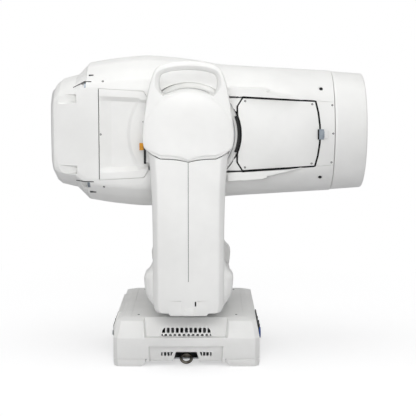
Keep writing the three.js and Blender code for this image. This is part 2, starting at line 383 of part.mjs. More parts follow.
// Lens carriages running on the guide rods.
const carriage = (x, r) => union(ring("x", r + 8, r, x - 6, x + 6, 0, T, 24), cyl("x", r + 0.5, x - 3, x + 3, 0, T, 24),
  ...[-1, 1].map((s) => box(x - 8, x + 8, s > 0 ? r : -98, s > 0 ? 98 : -r, T - 10, T + 10))).subtract(cyl("x", 4.5, x - 20, x + 20, 88, T, 10)).subtract(cyl("x", 4.5, x - 20, x + 20, -88, T, 10));
put(head, "focus_carriage", carriage(10, 44), BLACK);
put(head, "zoom_carriage", carriage(130, 62), BLACK);

export default root;
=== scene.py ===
"""Looks of the moving-head follow spot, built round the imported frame. Lengths below are millimetres until mesh() turns them into metres."""
import bpy, bmesh, math, random
from mathutils import Matrix, Vector


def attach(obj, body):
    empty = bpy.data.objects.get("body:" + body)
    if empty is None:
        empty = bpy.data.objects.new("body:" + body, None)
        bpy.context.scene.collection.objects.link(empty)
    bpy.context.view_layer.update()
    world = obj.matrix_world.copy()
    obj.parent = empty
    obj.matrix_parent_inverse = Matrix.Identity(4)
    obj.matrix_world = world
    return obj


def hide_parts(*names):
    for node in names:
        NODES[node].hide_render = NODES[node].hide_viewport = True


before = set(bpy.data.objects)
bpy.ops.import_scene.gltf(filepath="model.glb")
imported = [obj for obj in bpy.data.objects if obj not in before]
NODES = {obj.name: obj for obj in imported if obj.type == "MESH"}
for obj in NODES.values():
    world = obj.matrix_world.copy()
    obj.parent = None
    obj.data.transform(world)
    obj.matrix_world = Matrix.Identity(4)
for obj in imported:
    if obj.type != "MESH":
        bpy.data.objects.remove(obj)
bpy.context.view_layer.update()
scene = bpy.context.scene
MM = 0.001
T = 518.0
PI = math.pi


# ---------------------------------------------------------------- small maths
def lerp(a, b, t):
    return a + (b - a) * t


def clamp(v, a=0.0, b=1.0):
    return max(a, min(b, v))


def smooth(t):
    t = clamp(t)
    return t * t * (3 - 2 * t)


def table(points, x):
    """Straight interpolation in a list of (x, value)."""
    if x <= points[0][0]:
        return points[0][1]
    for (a, va), (b, vb) in zip(points, points[1:]):
        if x <= b:
            return va + (vb - va) * (x - a) / (b - a) if b > a else vb
    return points[-1][1]


def pchip(points):
    """A smooth curve through the points that never overshoots them."""
    xs = [p[0] for p in points]
    ys = [p[1] for p in points]
    n = len(xs)
    h = [xs[i + 1] - xs[i] for i in range(n - 1)]
    d = [(ys[i + 1] - ys[i]) / h[i] for i in range(n - 1)]
    m = [0.0] * n
    m[0], m[-1] = d[0], d[-1]
    for i in range(1, n - 1):
        if d[i - 1] * d[i] > 0:
            w1, w2 = 2 * h[i] + h[i - 1], h[i] + 2 * h[i - 1]
            m[i] = (w1 + w2) / (w1 / d[i - 1] + w2 / d[i])

    def f(x):
        x = clamp(x, xs[0], xs[-1])
        i = 0
        while i < n - 2 and x > xs[i + 1]:
            i += 1
        t = (x - xs[i]) / h[i]
        return ((1 + 2 * t) * (1 - t) ** 2 * ys[i] + t * (1 - t) ** 2 * h[i] * m[i]
                + t * t * (3 - 2 * t) * ys[i + 1] + t * t * (t - 1) * h[i] * m[i + 1])
    return f


def bezier_corners(pts, r, n=5, closed=True):
    """Rounds each corner of a 2-D outline: r is one distance, or one for each point."""
    out, N = [], len(pts)
    for i, p in enumerate(pts):
        ri = r[i] if isinstance(r, (list, tuple)) else r
        if (not closed and i in (0, N - 1)) or ri <= 0:
            out.append(tuple(p))
            continue
        a, b = pts[i - 1], pts[(i + 1) % N]
        da = math.hypot(a[0] - p[0], a[1] - p[1])
        db = math.hypot(b[0] - p[0], b[1] - p[1])
        ka, kb = min(ri, 0.46 * da) / da, min(ri, 0.46 * db) / db
        s = (p[0] + (a[0] - p[0]) * ka, p[1] + (a[1] - p[1]) * ka)
        e = (p[0] + (b[0] - p[0]) * kb, p[1] + (b[1] - p[1]) * kb)
        for j in range(n + 1):
            t = j / n
            out.append(tuple((1 - t) ** 2 * s[q] + 2 * t * (1 - t) * p[q] + t * t * e[q] for q in (0, 1)))
    return out


def area2(pts):
    return sum(a[0] * b[1] - b[0] * a[1] for a, b in zip(pts, pts[1:] + pts[:1])) / 2


def offset(pts, d):
    """Moves a closed outline inwards by d, along the mean normal at each point."""
    s = 1 if area2(pts) > 0 else -1
    out, N = [], len(pts)
    for i, p in enumerate(pts):
        a, b = pts[i - 1], pts[(i + 1) % N]
        u = Vector((p[0] - a[0], p[1] - a[1]))
        v = Vector((b[0] - p[0], b[1] - p[1]))
        if u.length < 1e-9 or v.length < 1e-9:
            u = v = Vector((b[0] - a[0], b[1] - a[1]))
        u.normalize(); v.normalize()
        n1, n2 = Vector((-u.y, u.x)) * s, Vector((-v.y, v.x)) * s
        m = n1 + n2
        if m.length < 1e-6:
            m = n1
        m.normalize()
        k = d / max(0.55, m.dot(n1))
        out.append((p[0] + m.x * k, p[1] + m.y * k))
    return out


# ---------------------------------------------------------------- making objects
def mesh(name, verts, faces, weld=True):
    me = bpy.data.meshes.new(name)
    bm = bmesh.new()
    vs = [bm.verts.new((x * MM, y * MM, z * MM)) for x, y, z in verts]
    for f in faces:
        f = [vs[i] for i in f]
        if len(set(f)) > 2:
            try:
                bm.faces.new(f)
            except ValueError:
                pass
    if weld:
        bmesh.ops.remove_doubles(bm, verts=bm.verts, dist=2e-6)
    bmesh.ops.recalc_face_normals(bm, faces=bm.faces)
    bm.to_mesh(me)
    bm.free()
    ob = bpy.data.objects.new(name, me)
    scene.collection.objects.link(ob)
    return ob


def bake(ob):
    """Applies the object's modifiers."""
    dg = bpy.context.evaluated_depsgraph_get()
    me = bpy.data.meshes.new_from_object(ob.evaluated_get(dg))
    old = ob.data
    ob.modifiers.clear()
    ob.data = me
    if old.users == 0:
        bpy.data.meshes.remove(old)
    return ob


def drop(ob):
    me = ob.data
    bpy.data.objects.remove(ob)
    if me.users == 0:
        bpy.data.meshes.remove(me)


def boolean(ob, others, op="DIFFERENCE"):
    for o in others:
        m = ob.modifiers.new("b", "BOOLEAN")
        m.operation, m.solver, m.object = op, "MANIFOLD", o
    bake(ob)
    for o in others:
        drop(o)
    return ob


def tidy(ob, dissolve=0.5):
    """Merges triangles that lie in one plane and drops what the booleans leave behind."""
    bm = bmesh.new()
    bm.from_mesh(ob.data)
    bmesh.ops.remove_doubles(bm, verts=bm.verts, dist=4e-6)
    bmesh.ops.dissolve_degenerate(bm, edges=bm.edges, dist=4e-6)
    if dissolve:
        bmesh.ops.dissolve_limit(bm, angle_limit=math.radians(dissolve), verts=bm.verts, edges=bm.edges)
    bmesh.ops.recalc_face_normals(bm, faces=bm.faces)
    bm.to_mesh(ob.data)
    bm.free()
    return ob


def soften(ob, width=0.8, segs=2, angle=32, harden=True):
    """Rounded edges: a bevel on every edge sharper than the angle, and even shading over the flats."""
    for p in ob.data.polygons:
        p.use_smooth = True
    if width:
        m = ob.modifiers.new("edge", "BEVEL")
        m.width, m.segments, m.limit_method = width * MM, segs, "ANGLE"
        m.angle_limit = math.radians(angle)
        m.use_clamp_overlap = True
        m.harden_normals = False
        m.miter_outer = "MITER_ARC"
    w = ob.modifiers.new("normals", "WEIGHTED_NORMAL")
    w.weight, w.keep_sharp, w.mode = 60, True, "FACE_AREA"
    return ob


def crisp(ob, angle=35):
    for p in ob.data.polygons:
        p.use_smooth = True
    ob.data.set_sharp_from_angle(angle=math.radians(angle))
    return ob


def join(name, obs):
    """Several objects' meshes in one object."""
    bm = bmesh.new()
    for o in obs:
        bm.from_mesh(o.data)
    me = bpy.data.meshes.new(name)
    bm.to_mesh(me)
    bm.free()
    for o in obs:
        drop(o)
    ob = bpy.data.objects.new(name, me)
    scene.collection.objects.link(ob)
    return ob


def mirror_copy(ob, name, axis=1):
    me = ob.data.copy()
    bm = bmesh.new()
    bm.from_mesh(me)
    for v in bm.verts:
        v.co[axis] = -v.co[axis]
    bmesh.ops.reverse_faces(bm, faces=bm.faces)
    bm.to_mesh(me)
    bm.free()
    new = bpy.data.objects.new(name, me)
    scene.collection.objects.link(new)
    for m in ob.modifiers:
        n = new.modifiers.new(m.name, m.type)
        for k in ("width", "segments", "limit_method", "angle_limit", "use_clamp_overlap", "harden_normals", "miter_outer", "weight", "keep_sharp", "mode"):
            if hasattr(m, k):
                setattr(n, k, getattr(m, k))
    return new


def shell(name, outer, inner, wrap=False):
    """A closed plate between two grids of points with the same counts."""
    nu, nv = len(outer), len(outer[0])
    verts = [p for row in outer for p in row] + [p for row in inner for p in row]
    o = lambda i, j: (i % nu) * nv + j
    k = nu * nv
    faces = []
    for i in range(nu if wrap else nu - 1):
        for j in range(nv - 1):
            q = [o(i, j), o(i + 1, j), o(i + 1, j + 1), o(i, j + 1)]
            faces.append(q)
            faces.append([v + k for v in reversed(q)])
        for j in (0, nv - 1):
            faces.append([o(i, j), o(i + 1, j), o(i + 1, j) + k, o(i, j) + k])
    if not wrap:
        for i in (0, nu - 1):
            for j in range(nv - 1):
                faces.append([o(i, j), o(i, j + 1), o(i, j + 1) + k, o(i, j) + k])
    return mesh(name, verts, faces)


def lathe(name, profile, axis="x", at=(0, 0, 0), seg=64, closed=True):
    """Turns (along, radius) points about an axis through at."""
    def place(a, r, t):
        c, s = r * math.cos(t), r * math.sin(t)
        v = {"x": (a, c, s), "y": (c, a, s), "z": (c, s, a)}[axis]
        return (v[0] + at[0], v[1] + at[1], v[2] + at[2])
    verts, faces, rows = [], [], []
    for a, r in profile:
        if r < 1e-6:
            rows.append([len(verts)])
            verts.append(place(a, 0, 0))
        else:
            rows.append([len(verts) + i for i in range(seg)])
            verts += [place(a, r, 2 * PI * i / seg) for i in range(seg)]
    pairs = list(zip(rows, rows[1:]))
    if closed and len(rows[0]) > 1 and len(rows[-1]) > 1:
        pairs.append((rows[-1], rows[0]))
    for A, B in pairs:
        for i in range(seg):
            j = (i + 1) % seg
            q = [A[i % len(A)], A[j % len(A)], B[j % len(B)], B[i % len(B)]]
            q = [v for n, v in enumerate(q) if v not in q[:n]]
            if len(q) > 2:
                faces.append(q)
    return mesh(name, verts, faces)


def loft(name, rings):
    n = len(rings[0])
    verts = [p for r in rings for p in r]
    faces = [list(reversed(range(n))), [(len(rings) - 1) * n + j for j in range(n)]]
    for i in range(len(rings) - 1):
        for j in range(n):
            k = (j + 1) % n
            faces.append([i * n + j, i * n + k, (i + 1) * n + k, (i + 1) * n + j])
    return mesh(name, verts, faces)


def prism(name, pts, axis, a, b):
    """An outline pushed along an axis: "y" takes (x, z), "z" takes (x, y), "x" takes (y, z)."""
    def v(p, t):
        return {"y": (p[0], t, p[1]), "z": (p[0], p[1], t), "x": (t, p[0], p[1])}[axis]
    return loft(name, [[v(p, a) for p in pts], [v(p, b) for p in pts]])


def hull(name, pts):
    me = bpy.data.meshes.new(name)
    bm = bmesh.new()
    for p in pts:
        bm.verts.new([c * MM for c in p])
    r = bmesh.ops.convex_hull(bm, input=bm.verts)
    bmesh.ops.delete(bm, geom=list({g for g in r["geom_interior"] + r["geom_unused"] if isinstance(g, bmesh.types.BMVert)}), context="VERTS")
    bmesh.ops.dissolve_limit(bm, angle_limit=math.radians(0.5), verts=bm.verts, edges=bm.edges)
    bmesh.ops.recalc_face_normals(bm, faces=bm.faces)
    bm.to_mesh(me)
    bm.free()
    ob = bpy.data.objects.new(name, me)
    scene.collection.objects.link(ob)
    return ob


def box(name, x0, x1, y0, y1, z0, z1):
    return prism(name, [(x0, y0), (x1, y0), (x1, y1), (x0, y1)], "z", z0, z1)


def rounded_rect(cx, cy, w, h, r, n=4):
    pts = [(cx - w / 2, cy - h / 2), (cx + w / 2, cy - h / 2), (cx + w / 2, cy + h / 2), (cx - w / 2, cy + h / 2)]
    return bezier_corners(pts, r, n)


def edged(name, outline, axis, a, b, r=1.0, n=3):
    """A flat part with its outline rounded over at the b face: rings that step in along a quarter circle."""
    s = 1 if b > a else -1
    def v(p, t):
        return {"y": (p[0], t, p[1]), "z": (p[0], p[1], t), "x": (t, p[0], p[1])}[axis]
    rings = [[v(p, a) for p in outline]]
    for i in range(n + 1):
        q = i / n * PI / 2
        rings.append([v(p, b - s * r * (1 - math.sin(q))) for p in offset(outline, r * (1 - math.cos(q)))])
    return loft(name, rings)


def screw(at, normal, r=2.6, h=1.0, depth=0.9):
    """A dark socket screw: domed rim with a six-sided recess."""
    n = Vector(normal).normalized()
    u = n.orthogonal().normalized()
    w = n.cross(u)
    def ring(rad, z, seg=18, six=0.0):
        out = []
        for i in range(seg):
            t = 2 * PI * i / seg
            k = rad * (1 - six * (0.134 * abs(math.sin(3 * t))))
            p = Vector(at) + u * (k * math.cos(t)) + w * (k * math.sin(t)) + n * z
            out.append(tuple(p))
        return out
    rings = [ring(r, -1.6), ring(r, h - 0.5), ring(r * 0.86, h - 0.08), ring(r * 0.62, h), ring(r * 0.55, h - 0.1, six=1), ring(r * 0.5, h - depth, six=1)]
    return loft("screw", rings)


# ---------------------------------------------------------------- materials
def hexc(h):
    v = [int(h[i:i + 2], 16) / 255 for i in (0, 2, 4)]
    return tuple([(c / 12.92 if c <= 0.04045 else ((c + 0.055) / 1.055) ** 2.4) for c in v] + [1.0])


def material(name, dark, light, rough=(0.35, 0.5), metal=0.0, grain=900.0, bump=0.05, mottle=14.0, spec=0.5, coat=0.0, stretch=None, wear=None):
    """A moulded, cast or drawn surface: broad tone variation, a fine grain in relief, and an uneven sheen."""
    m = bpy.data.materials.new(name)
    m.use_nodes = True
    t = m.node_tree
    N, L = t.nodes, t.links
    N.clear()
    out = N.new("ShaderNodeOutputMaterial")
    p = N.new("ShaderNodeBsdfPrincipled")
    L.new(p.outputs[0], out.inputs[0])
    co = N.new("ShaderNodeTexCoord")
    src = co.outputs["Object"]
    if stretch:
        mp = N.new("ShaderNodeMapping")
        mp.inputs["Scale"].default_value = stretch
        L.new(src, mp.inputs[0])
        fine_src = mp.outputs[0]
    else:
        fine_src = src
    broad = N.new("ShaderNodeTexNoise")
    broad.inputs["Scale"].default_value = mottle
    broad.inputs["Detail"].default_value = 5
    broad.inputs["Roughness"].default_value = 0.55
    L.new(src, broad.inputs["Vector"])
    ramp = N.new("ShaderNodeValToRGB")
    ramp.color_ramp.elements[0].position, ramp.color_ramp.elements[0].color = 0.32, hexc(dark)
    ramp.color_ramp.elements[1].position, ramp.color_ramp.elements[1].color = 0.68, hexc(light)
    L.new(broad.outputs[0], ramp.inputs[0])
    L.new(ramp.outputs[0], p.inputs["Base Color"])
    fine = N.new("ShaderNodeTexNoise")
    fine.inputs["Scale"].default_value = grain
    fine.inputs["Detail"].default_value = 3
    L.new(fine_src, fine.inputs["Vector"])
    rr = N.new("ShaderNodeMapRange")
    rr.inputs["To Min"].default_value, rr.inputs["To Max"].default_value = rough
    mixn = N.new("ShaderNodeMath")
    mixn.operation = "ADD"
    half = N.new("ShaderNodeMath")
    half.operation = "MULTIPLY"
    half.inputs[1].default_value = 0.5
    L.new(broad.outputs[0], mixn.inputs[0])
    L.new(fine.outputs[0], mixn.inputs[1])
    L.new(mixn.outputs[0], half.inputs[0])
    L.new(half.outputs[0], rr.inputs[0])
    L.new(rr.outputs[0], p.inputs["Roughness"])
    b = N.new("ShaderNodeBump")
    b.inputs["Strength"].default_value = 0.35
    b.inputs["Distance"].default_value = bump * MM
    L.new(fine.outputs[0], b.inputs["Height"])
    L.new(b.outputs[0], p.inputs["Normal"])
    p.inputs["Metallic"].default_value = metal
    p.inputs["Specular IOR Level"].default_value = spec
    p.inputs["Coat Weight"].default_value = coat
    return m


WHITE = material("white_abs", "ececea", "f4f4f2", (0.34, 0.46), grain=1400, bump=0.035, mottle=9)
WHITE2 = material("white_abs_inner", "e6e6e5", "efefed", (0.42, 0.55), grain=1400, bump=0.04, mottle=9)
BLACK = material("black_abs", "131416", "1d1e21", (0.4, 0.6), grain=1200, bump=0.05, mottle=20)
PAINTED = material("black_metal", "18191b", "242628", (0.38, 0.55), metal=0.35, grain=1100, bump=0.05, mottle=24)
RUBBER = material("rubber", "161618", "222224", (0.72, 0.9), grain=1500, bump=0.08, mottle=30, spec=0.3)
STEEL = material("steel", "6f757c", "8d949b", (0.24, 0.42), metal=1.0, grain=300, bump=0.012, mottle=40, stretch=(1.0, 8.0, 8.0))
SCREWM = material("screw_steel", "060607", "0d0e10", (0.45, 0.6), metal=0.0, grain=700, bump=0.02, mottle=60)
ALU = material("aluminium", "a2a6aa", "bfc3c7", (0.32, 0.5), metal=1.0, grain=420, bump=0.02, mottle=26, stretch=(6.0, 1.0, 1.0))
BRASSY = material("ring_steel", "5c5852", "8a857c", (0.22, 0.42), metal=1.0, grain=500, bump=0.02, mottle=70)
YELLOW = material("yellow_abs", "d99410", "efab22", (0.4, 0.55), grain=1300, bump=0.04, mottle=60)
BLUE = material("blue_abs", "23458c", "3058a8", (0.38, 0.52), grain=1300, bump=0.04, mottle=60)
SCREEN = material("display_glass", "0b0e12", "12171d", (0.08, 0.16), grain=200, bump=0.002, mottle=18, coat=0.6)
LATCH = material("latch_steel", "87909a", "a8b0b8", (0.22, 0.36), metal=1.0, grain=500, bump=0.012, mottle=50)


def glass_material():
    m = material("lens_glass", "e9f1f4", "f6fafb", (0.0, 0.03), grain=60, bump=0.0005, mottle=6, coat=0.3)
    p = next(n for n in m.node_tree.nodes if n.type == "BSDF_PRINCIPLED")
    p.inputs["Transmission Weight"].default_value = 0.92
    p.inputs["IOR"].default_value = 1.5
    return m


GLASS = glass_material()
SLOT = {}


def give(ob, mat, body, replaces=()):
    ob.data.materials.clear()
    ob.data.materials.append(mat)
    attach(ob, body)
    if replaces:
        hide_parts(*replaces)
    return ob


# ================================================================ HEAD
MID8 = [[0, 1], [.28, .985], [.55, .945], [.78, .83], [.97, .69], [1, .585], [1, .3], [1, 0]]
ANG8 = [math.radians(a) for a in (90, 74, 58, 46, 37, 31, 15, 0)]
STATIONS = [(-327, 104, 134, .25), (-322, 116, 144, .15), (-312, 128, 151, .05), (-262, 135, 154, 0), (-235, 164, 154, 0), (-172, 174, 154, 0), (-100, 180, 154, 0),
            (-40, 176, 154, 0), (10, 170, 154, .05), (72, 160, 154, .2), (206, 152, 151, .6), (336, 145, 145, 1)]
FRONT = [s for s in STATIONS if s[0] >= -235]
head_h, head_w, head_t = (pchip([(s[0], s[k]) for s in FRONT]) for k in (1, 2, 3))


def quarter8(x, h=None, w=None, t=None):
    h = head_h(x) if h is None else h
    w = head_w(x) if w is None else w
    t = head_t(x) if t is None else t
    return [(lerp(a * w, w * math.cos(g), t), lerp(b * h, h * math.sin(g), t)) for (a, b), g in zip(MID8, ANG8)]


def quarter(x):
    """Dense (y, z') points from the top middle to the side middle."""
    q = quarter8(x)
    ext = [(-q[1][0], q[1][1])] + q + [(q[6][0], -q[6][1])]
    t = head_t(x)
    r = lerp(9, 60, t)
    return bezier_corners(ext, [0] + [r] * 8 + [0], 6, closed=False)[1:-1]


_cache = {}


def wall(x, z):
    """Half width of the head's skin at (x, z'), for |z'| below about 0.8 of its half height."""
    k = round(x, 2)
    if k not in _cache:
        _cache[k] = [p for p in quarter(x)]
    z = abs(z)
    pts = _cache[k]
    for a, b in zip(pts, pts[1:]):
        if b[1] <= z <= a[1] and a[0] >= 0:
            f = (a[1] - z) / max(1e-9, a[1] - b[1])
            return lerp(a[0], b[0], f)
    return pts[-1][0] if z < 1 else pts[0][0]


def seam(x):
    return 105 - (x + 206) * 32 / 542


def band_top(x):
    """Height above the seam of the upright strip beside the service door."""
    if x < 84 or x > 272:
        return 0.0
    if x < 176:
        return 20.0
    if x < 184:
        return lerp(20, 13.5, (x - 176) / 8)
    return lerp(13.5, 0, (x - 184) / 88)


def edge_z(x):
    """Where the top cover ends, as a height from the tilt axis."""
    if x <= -206:
        return 105.2
    if x <= -103:
        return lerp(105.2, 99.4, (x + 206) / 103)
    if x <= -92:
        return lerp(99.4, 81.4, (x + 103) / 11)
    if x < 80.5:
        return math.sqrt(119.0 ** 2 - x * x)
    if x < 121:
        return seam(x) + 0.3
    if x < 294:
        return seam(x) + 1.7
    return seam(x) + 0.3


def cover_column(x):
    """Points (y, z') from the top middle down one side to the edge of the cover."""
    zb = edge_z(x)
    h = head_h(x)
    q = quarter(x)
    zs = 0.76 * h
    upper = [p for p in q if p[1] > zs and p[0] >= 0]
    n_up = 26
    # upper part resampled by length, so that every column has the same count
    def at_z(z):
        for a, b in zip(q, q[1:]):
            if b[1] <= z <= a[1] and a[0] >= 0:
                f = (a[1] - z) / max(1e-9, a[1] - b[1])
                return (lerp(a[0], b[0], f), z)
        return q[-1]
    path = [(0.0, q[0][1] if q[0][0] >= 0 else h)] + [p for p in upper if p[0] > 0.01] + [at_z(zs)]
    path[0] = (0.0, max(p[1] for p in q))
    L = [0.0]
    for a, b in zip(path, path[1:]):
        L.append(L[-1] + math.hypot(b[0] - a[0], b[1] - a[1]))
    up = []
    for i in range(n_up):
        s = L[-1] * i / (n_up - 1)
        j = 0
        while j < len(L) - 2 and s > L[j + 1]:
            j += 1
        f = (s - L[j]) / max(1e-9, L[j + 1] - L[j])
        up.append((lerp(path[j][0], path[j + 1][0], f), lerp(path[j][1], path[j + 1][1], f)))
    low = []
    n_low = 24
    ym = wall(x, 0)
    bt = band_top(x)
    for i in range(1, n_low + 1):
        z = lerp(zs, zb, i / n_low)
        y = at_z(z)[0]
        d = z - seam(x)
        if bt > 0.5 and d < bt + 3.0:
            k = smooth((bt + 3.0 - d) / 3.0) * smooth(bt / 9.0) * smooth((x - 83) / 6)
            y = max(y, lerp(y, ym - 0.4, k))
        low.append((y, z))
    half = up + low
    return half


def normal_in(half, i):
    a = half[max(0, i - 1)]
    b = half[min(len(half) - 1, i + 1)]
    if i == 0:
        return (0.0, -1.0)
    ty, tz = b[0] - a[0], b[1] - a[1]
    l = math.hypot(ty, tz) or 1.0
    return (tz / l, -ty / l)


def frange(a, b, step):
    n = max(1, int(math.ceil((b - a) / step)))
    return [a + (b - a) * i / n for i in range(n + 1)]


def top_cover(name, up):
    xs = []
    keys = [-235, -206, -103, -92, -60, 0, 60, 80.4, 84, 90, 172, 186, 272, 294, 335.6]
    for a, b in zip(keys, keys[1:]):
        xs += frange(a, b, 7.0)[:-1]
    xs.append(335.6)
    outer, inner = [], []
    for x in xs:
        half = cover_column(x)
        col, colin = [], []
        for i, (y, z) in enumerate(half):
            n = normal_in(half, i)
            k = 3.0
            col.append((x, y, T + up * z))
            colin.append((x, y + n[0] * k, T + up * (z + n[1] * k)))
        full = [(c[0], -c[1], c[2]) for c in reversed(col[1:])] + col
        fullin = [(c[0], -c[1], c[2]) for c in reversed(colin[1:])] + colin
        outer.append(full)
        inner.append(fullin)
    return shell(name, outer, inner)


def plate(name, rows, surf, thick=3.0, side=-1):
    """A closed plate over rows of (x, z') points; surf(x, z') is its half width there."""
    outer = [[(x, side * surf(x, z), T + z) for x, z in r] for r in rows]
    inner = [[(x, side * (surf(x, z) - thick), T + z) for x, z in r] for r in rows]
    return shell(name, outer, inner)


def scoop_depth(x, z):
    v = abs(z) / table([(-206, 104.6), (-103.4, 98.8), (0, 93.0)], x)
    d = 12.0 * clamp((x + 214) / 36.0) * clamp((0.842 - v) / 0.107)
    r = math.hypot(x, z)
    if r < 141:
        d = max(0.0, d - 5.0 * clamp((141 - r) / 5.5))
    b = math.hypot(x + 103.2, z - 28.7)
    if b < 9.5 and x > -113:
        d = max(0.0, d - 1.6 * smooth((9.5 - b) / 3.0))
    return d


def side_surface(x, z):
    return wall(x, z) - scoop_depth(x, z)


def side_cover(side):
    rows = []
    zs = []
    for a, b in ((-1, -0.842), (-0.842, -0.735), (-0.735, 0.735), (0.735, 0.842), (0.842, 1)):
        zs += [a + (b - a) * i / (10 if b - a < 0.5 else 26) for i in range(10 if b - a < 0.5 else 26)]
    zs.append(1)
    for v in zs:
        row = []
        # heights follow the slightly falling edge; the front end follows the cut corner and the round opening
        for u in [i / 44 for i in range(45)]:
            x0 = -205.2
            z_edge = 104.6
            # front limit for this row
            x1 = -92.6
            zz = v * 100
            for _ in range(6):
                ze = table([(-206, 104.6), (-103.4, 98.8), (-92.6, 80.6), (0, 80)], x1)
                zz = v * table([(-206, 104.6), (-103.4, 98.8), (0, 93.0)], x1)
                a = abs(zz)
                if a > 80.6:
                    x1 = lerp(-92.6, -103.4, clamp((a - 80.6) / 18.2))
                else:
                    x1 = -max(92.6, math.sqrt(max(0.0, 105.5 ** 2 - a * a))) if a < 105.5 else -92.6
            x = lerp(x0, x1, u)
            z = v * table([(-206, 104.6), (-103.4, 98.8), (0, 93.0)], x)
            row.append((x, z))
        rows.append(row)
    return plate("side", rows, side_surface, 3.0, side)


def door_zt(x):
    return 82.6 - (x - 123) * 9.2 / 169


REAR = pchip([(0, 118.9), (12, 118.3), (30, 115.0), (46, 110.6), (64, 110.2)])


def door_rear(a):
    return REAR(a) if a < 64 else 110.2 + (a - 64) * 13 / 20.5


def door_front(a):
    return table([(0, 302), (20, 301.6), (50, 298), (76.5, 292)], a)


def door(side):
    rows = []
    vs = [-1 + 2 * i / 56 for i in range(57)]
    for v in vs:
        xr, xf = 116.0, 298.0
        for _ in range(8):
            xr = door_rear(abs(v * door_zt(xr))) + 2.3
            xf = door_front(abs(v * door_zt(xf))) - 2.6
        rows.append([(lerp(xr, xf, i / 30), v * door_zt(lerp(xr, xf, i / 30))) for i in range(31)])
    return plate("door", rows, lambda x, z: wall(x, z) - 0.15, 3.0, side)


def seal_outline():
    out = []
    n = 40
    for i in range(n + 1):
        a = -86.5 + 173 * i / n
        out.append((door_rear(min(86.4, abs(a))), a))
    for i in range(1, n):
        x = lerp(124.3, 292, i / n)
        out.append((x, seam(x) + 0.0))
    for i in range(n + 1):
        a = 76.0 - 152 * i / n
        out.append((door_front(abs(a)), a))
    for i in range(1, n):
        x = lerp(292, 124.3, i / n)
        out.append((x, -seam(x)))
    return out


def seal(side):
    line = seal_outline()
    o, i = offset(line, -1.35), offset(line, 3.6)
    top = lambda p: side * (wall(p[0], p[1]) - 0.35)
    bot = lambda p: side * (wall(p[0], p[1]) - 3.6)
    verts, n = [], len(line)
    for p in o: verts.append((p[0], top(p), T + p[1]))
    for p in i: verts.append((p[0], top(p), T + p[1]))
    for p in i: verts.append((p[0], bot(p), T + p[1]))
    for p in o: verts.append((p[0], bot(p), T + p[1]))
    faces = []
    for k in range(n):
        m = (k + 1) % n
        for r in range(4):
            s = (r + 1) % 4
            faces.append([r * n + k, r * n + m, s * n + m, s * n + k])
    return mesh("seal", verts, faces)


def front_panel(side):
    rows = []
    for v in [-1 + 2 * i / 44 for i in range(45)]:
        xr = 298.0
        for _ in range(6):
            zt = seam(xr) - 0.35
            xr = door_front(min(76.5, abs(v * zt))) + 1.5
        rows.append([(lerp(xr, 335.6, i / 8), v * (seam(lerp(xr, 335.6, i / 8)) - 0.35)) for i in range(9)])
    return plate("frontp", rows, wall, 3.0, side)


def web(side, up):
    """The small corner between the round opening and the door."""
    rows = []
    for z in frange(53, 83.2, 2.2):
        x0 = math.sqrt(119.0 ** 2 - z * z)
        x1 = door_rear(z) - 1.5
        rows.append([(lerp(x0, x1, i / 8), up * z) for i in range(9)])
    return plate("web", rows, wall, 3.0, side)


# ---- collar round each hub: pale for most of the way; beside the door a dark sector is painted shade for the gap there
def ring_sector(name, prof, a0, a1, n):
    rows = []
    for i in range(n + 1):
        a = math.radians(lerp(a0, a1, i / n))
        rows.append([(r * math.cos(a), y, T + r * math.sin(a)) for y, r in prof])
    return loft(name, rows)


for side, word in ((-1, "right"), (1, "left")):
    y = lambda v: side * v
    col = ring_sector("col", [(y(141.3), 117.8), (y(144.4), 117.8), (y(145.5), 117.2), (y(146.0), 116.0), (y(146.0), 107.4), (y(145.5), 106.2), (y(144.4), 105.6), (y(141.3), 105.6)], 21.5, 338.5, 130)
    col.name = f"{word}_hub_collar"
    give(crisp(col, 40), WHITE, "head", ())
    lip_in = ring_sector("lip", [(y(141.3), 111.8), (y(144.4), 111.8), (y(145.5), 111.2), (y(146.0), 110.2), (y(146.0), 107.4), (y(145.5), 106.2), (y(144.4), 105.6), (y(141.3), 105.6)], -21.4, 21.4, 24)
    lip_in.name = f"{word}_hub_lip"
    give(crisp(lip_in, 40), WHITE, "head", ())
    # painted shade: a black sector put where the gap between hub and door lies in shadow
    dark = ring_sector("dark", [(y(141.25), 117.8), (y(142.6), 117.8), (y(143.0), 117.4), (y(143.0), 112.4), (y(142.6), 112.0), (y(141.25), 112.0)], -21, 21, 24)
    dark.name = f"{word}_hub_painted_shade"
    give(crisp(dark, 40), BLACK, "head", ())

made_head = []
cover = top_cover("top_cover_skin", 1)
under = top_cover("bottom_cover_skin", -1)
for ob, node in ((cover, "head_top_cover"), (under, "head_bottom_cover")):
    s = 1 if node == "head_top_cover" else -1
    cutters = []
    for side in (-1, 1):
        # round recess of the hood catch on each side, the seat of its screw
        y = side * (wall(306, 104) + 1)
        n = Vector((0, side * 0.72, s * 0.69))
        for r, d, dx in ((7.0, 1.6, 0.0),):
            u = n.orthogonal().normalized(); w = n.cross(u)
            c = Vector((306, side * wall(306, 103), T + s * 103))
            ring = lambda k, rad: [tuple(c + u * rad * math.cos(2 * PI * i / 24) + w * rad * math.sin(2 * PI * i / 24) + n * k) for i in range(24)]
            cutters.append(loft("c", [ring(-d, r - 0.6), ring(8, r + 0.6)]))
    boolean(ob, cutters)
    soften(ob, 0.9, 2, 42)
    give(ob, WHITE, "head", (node,))

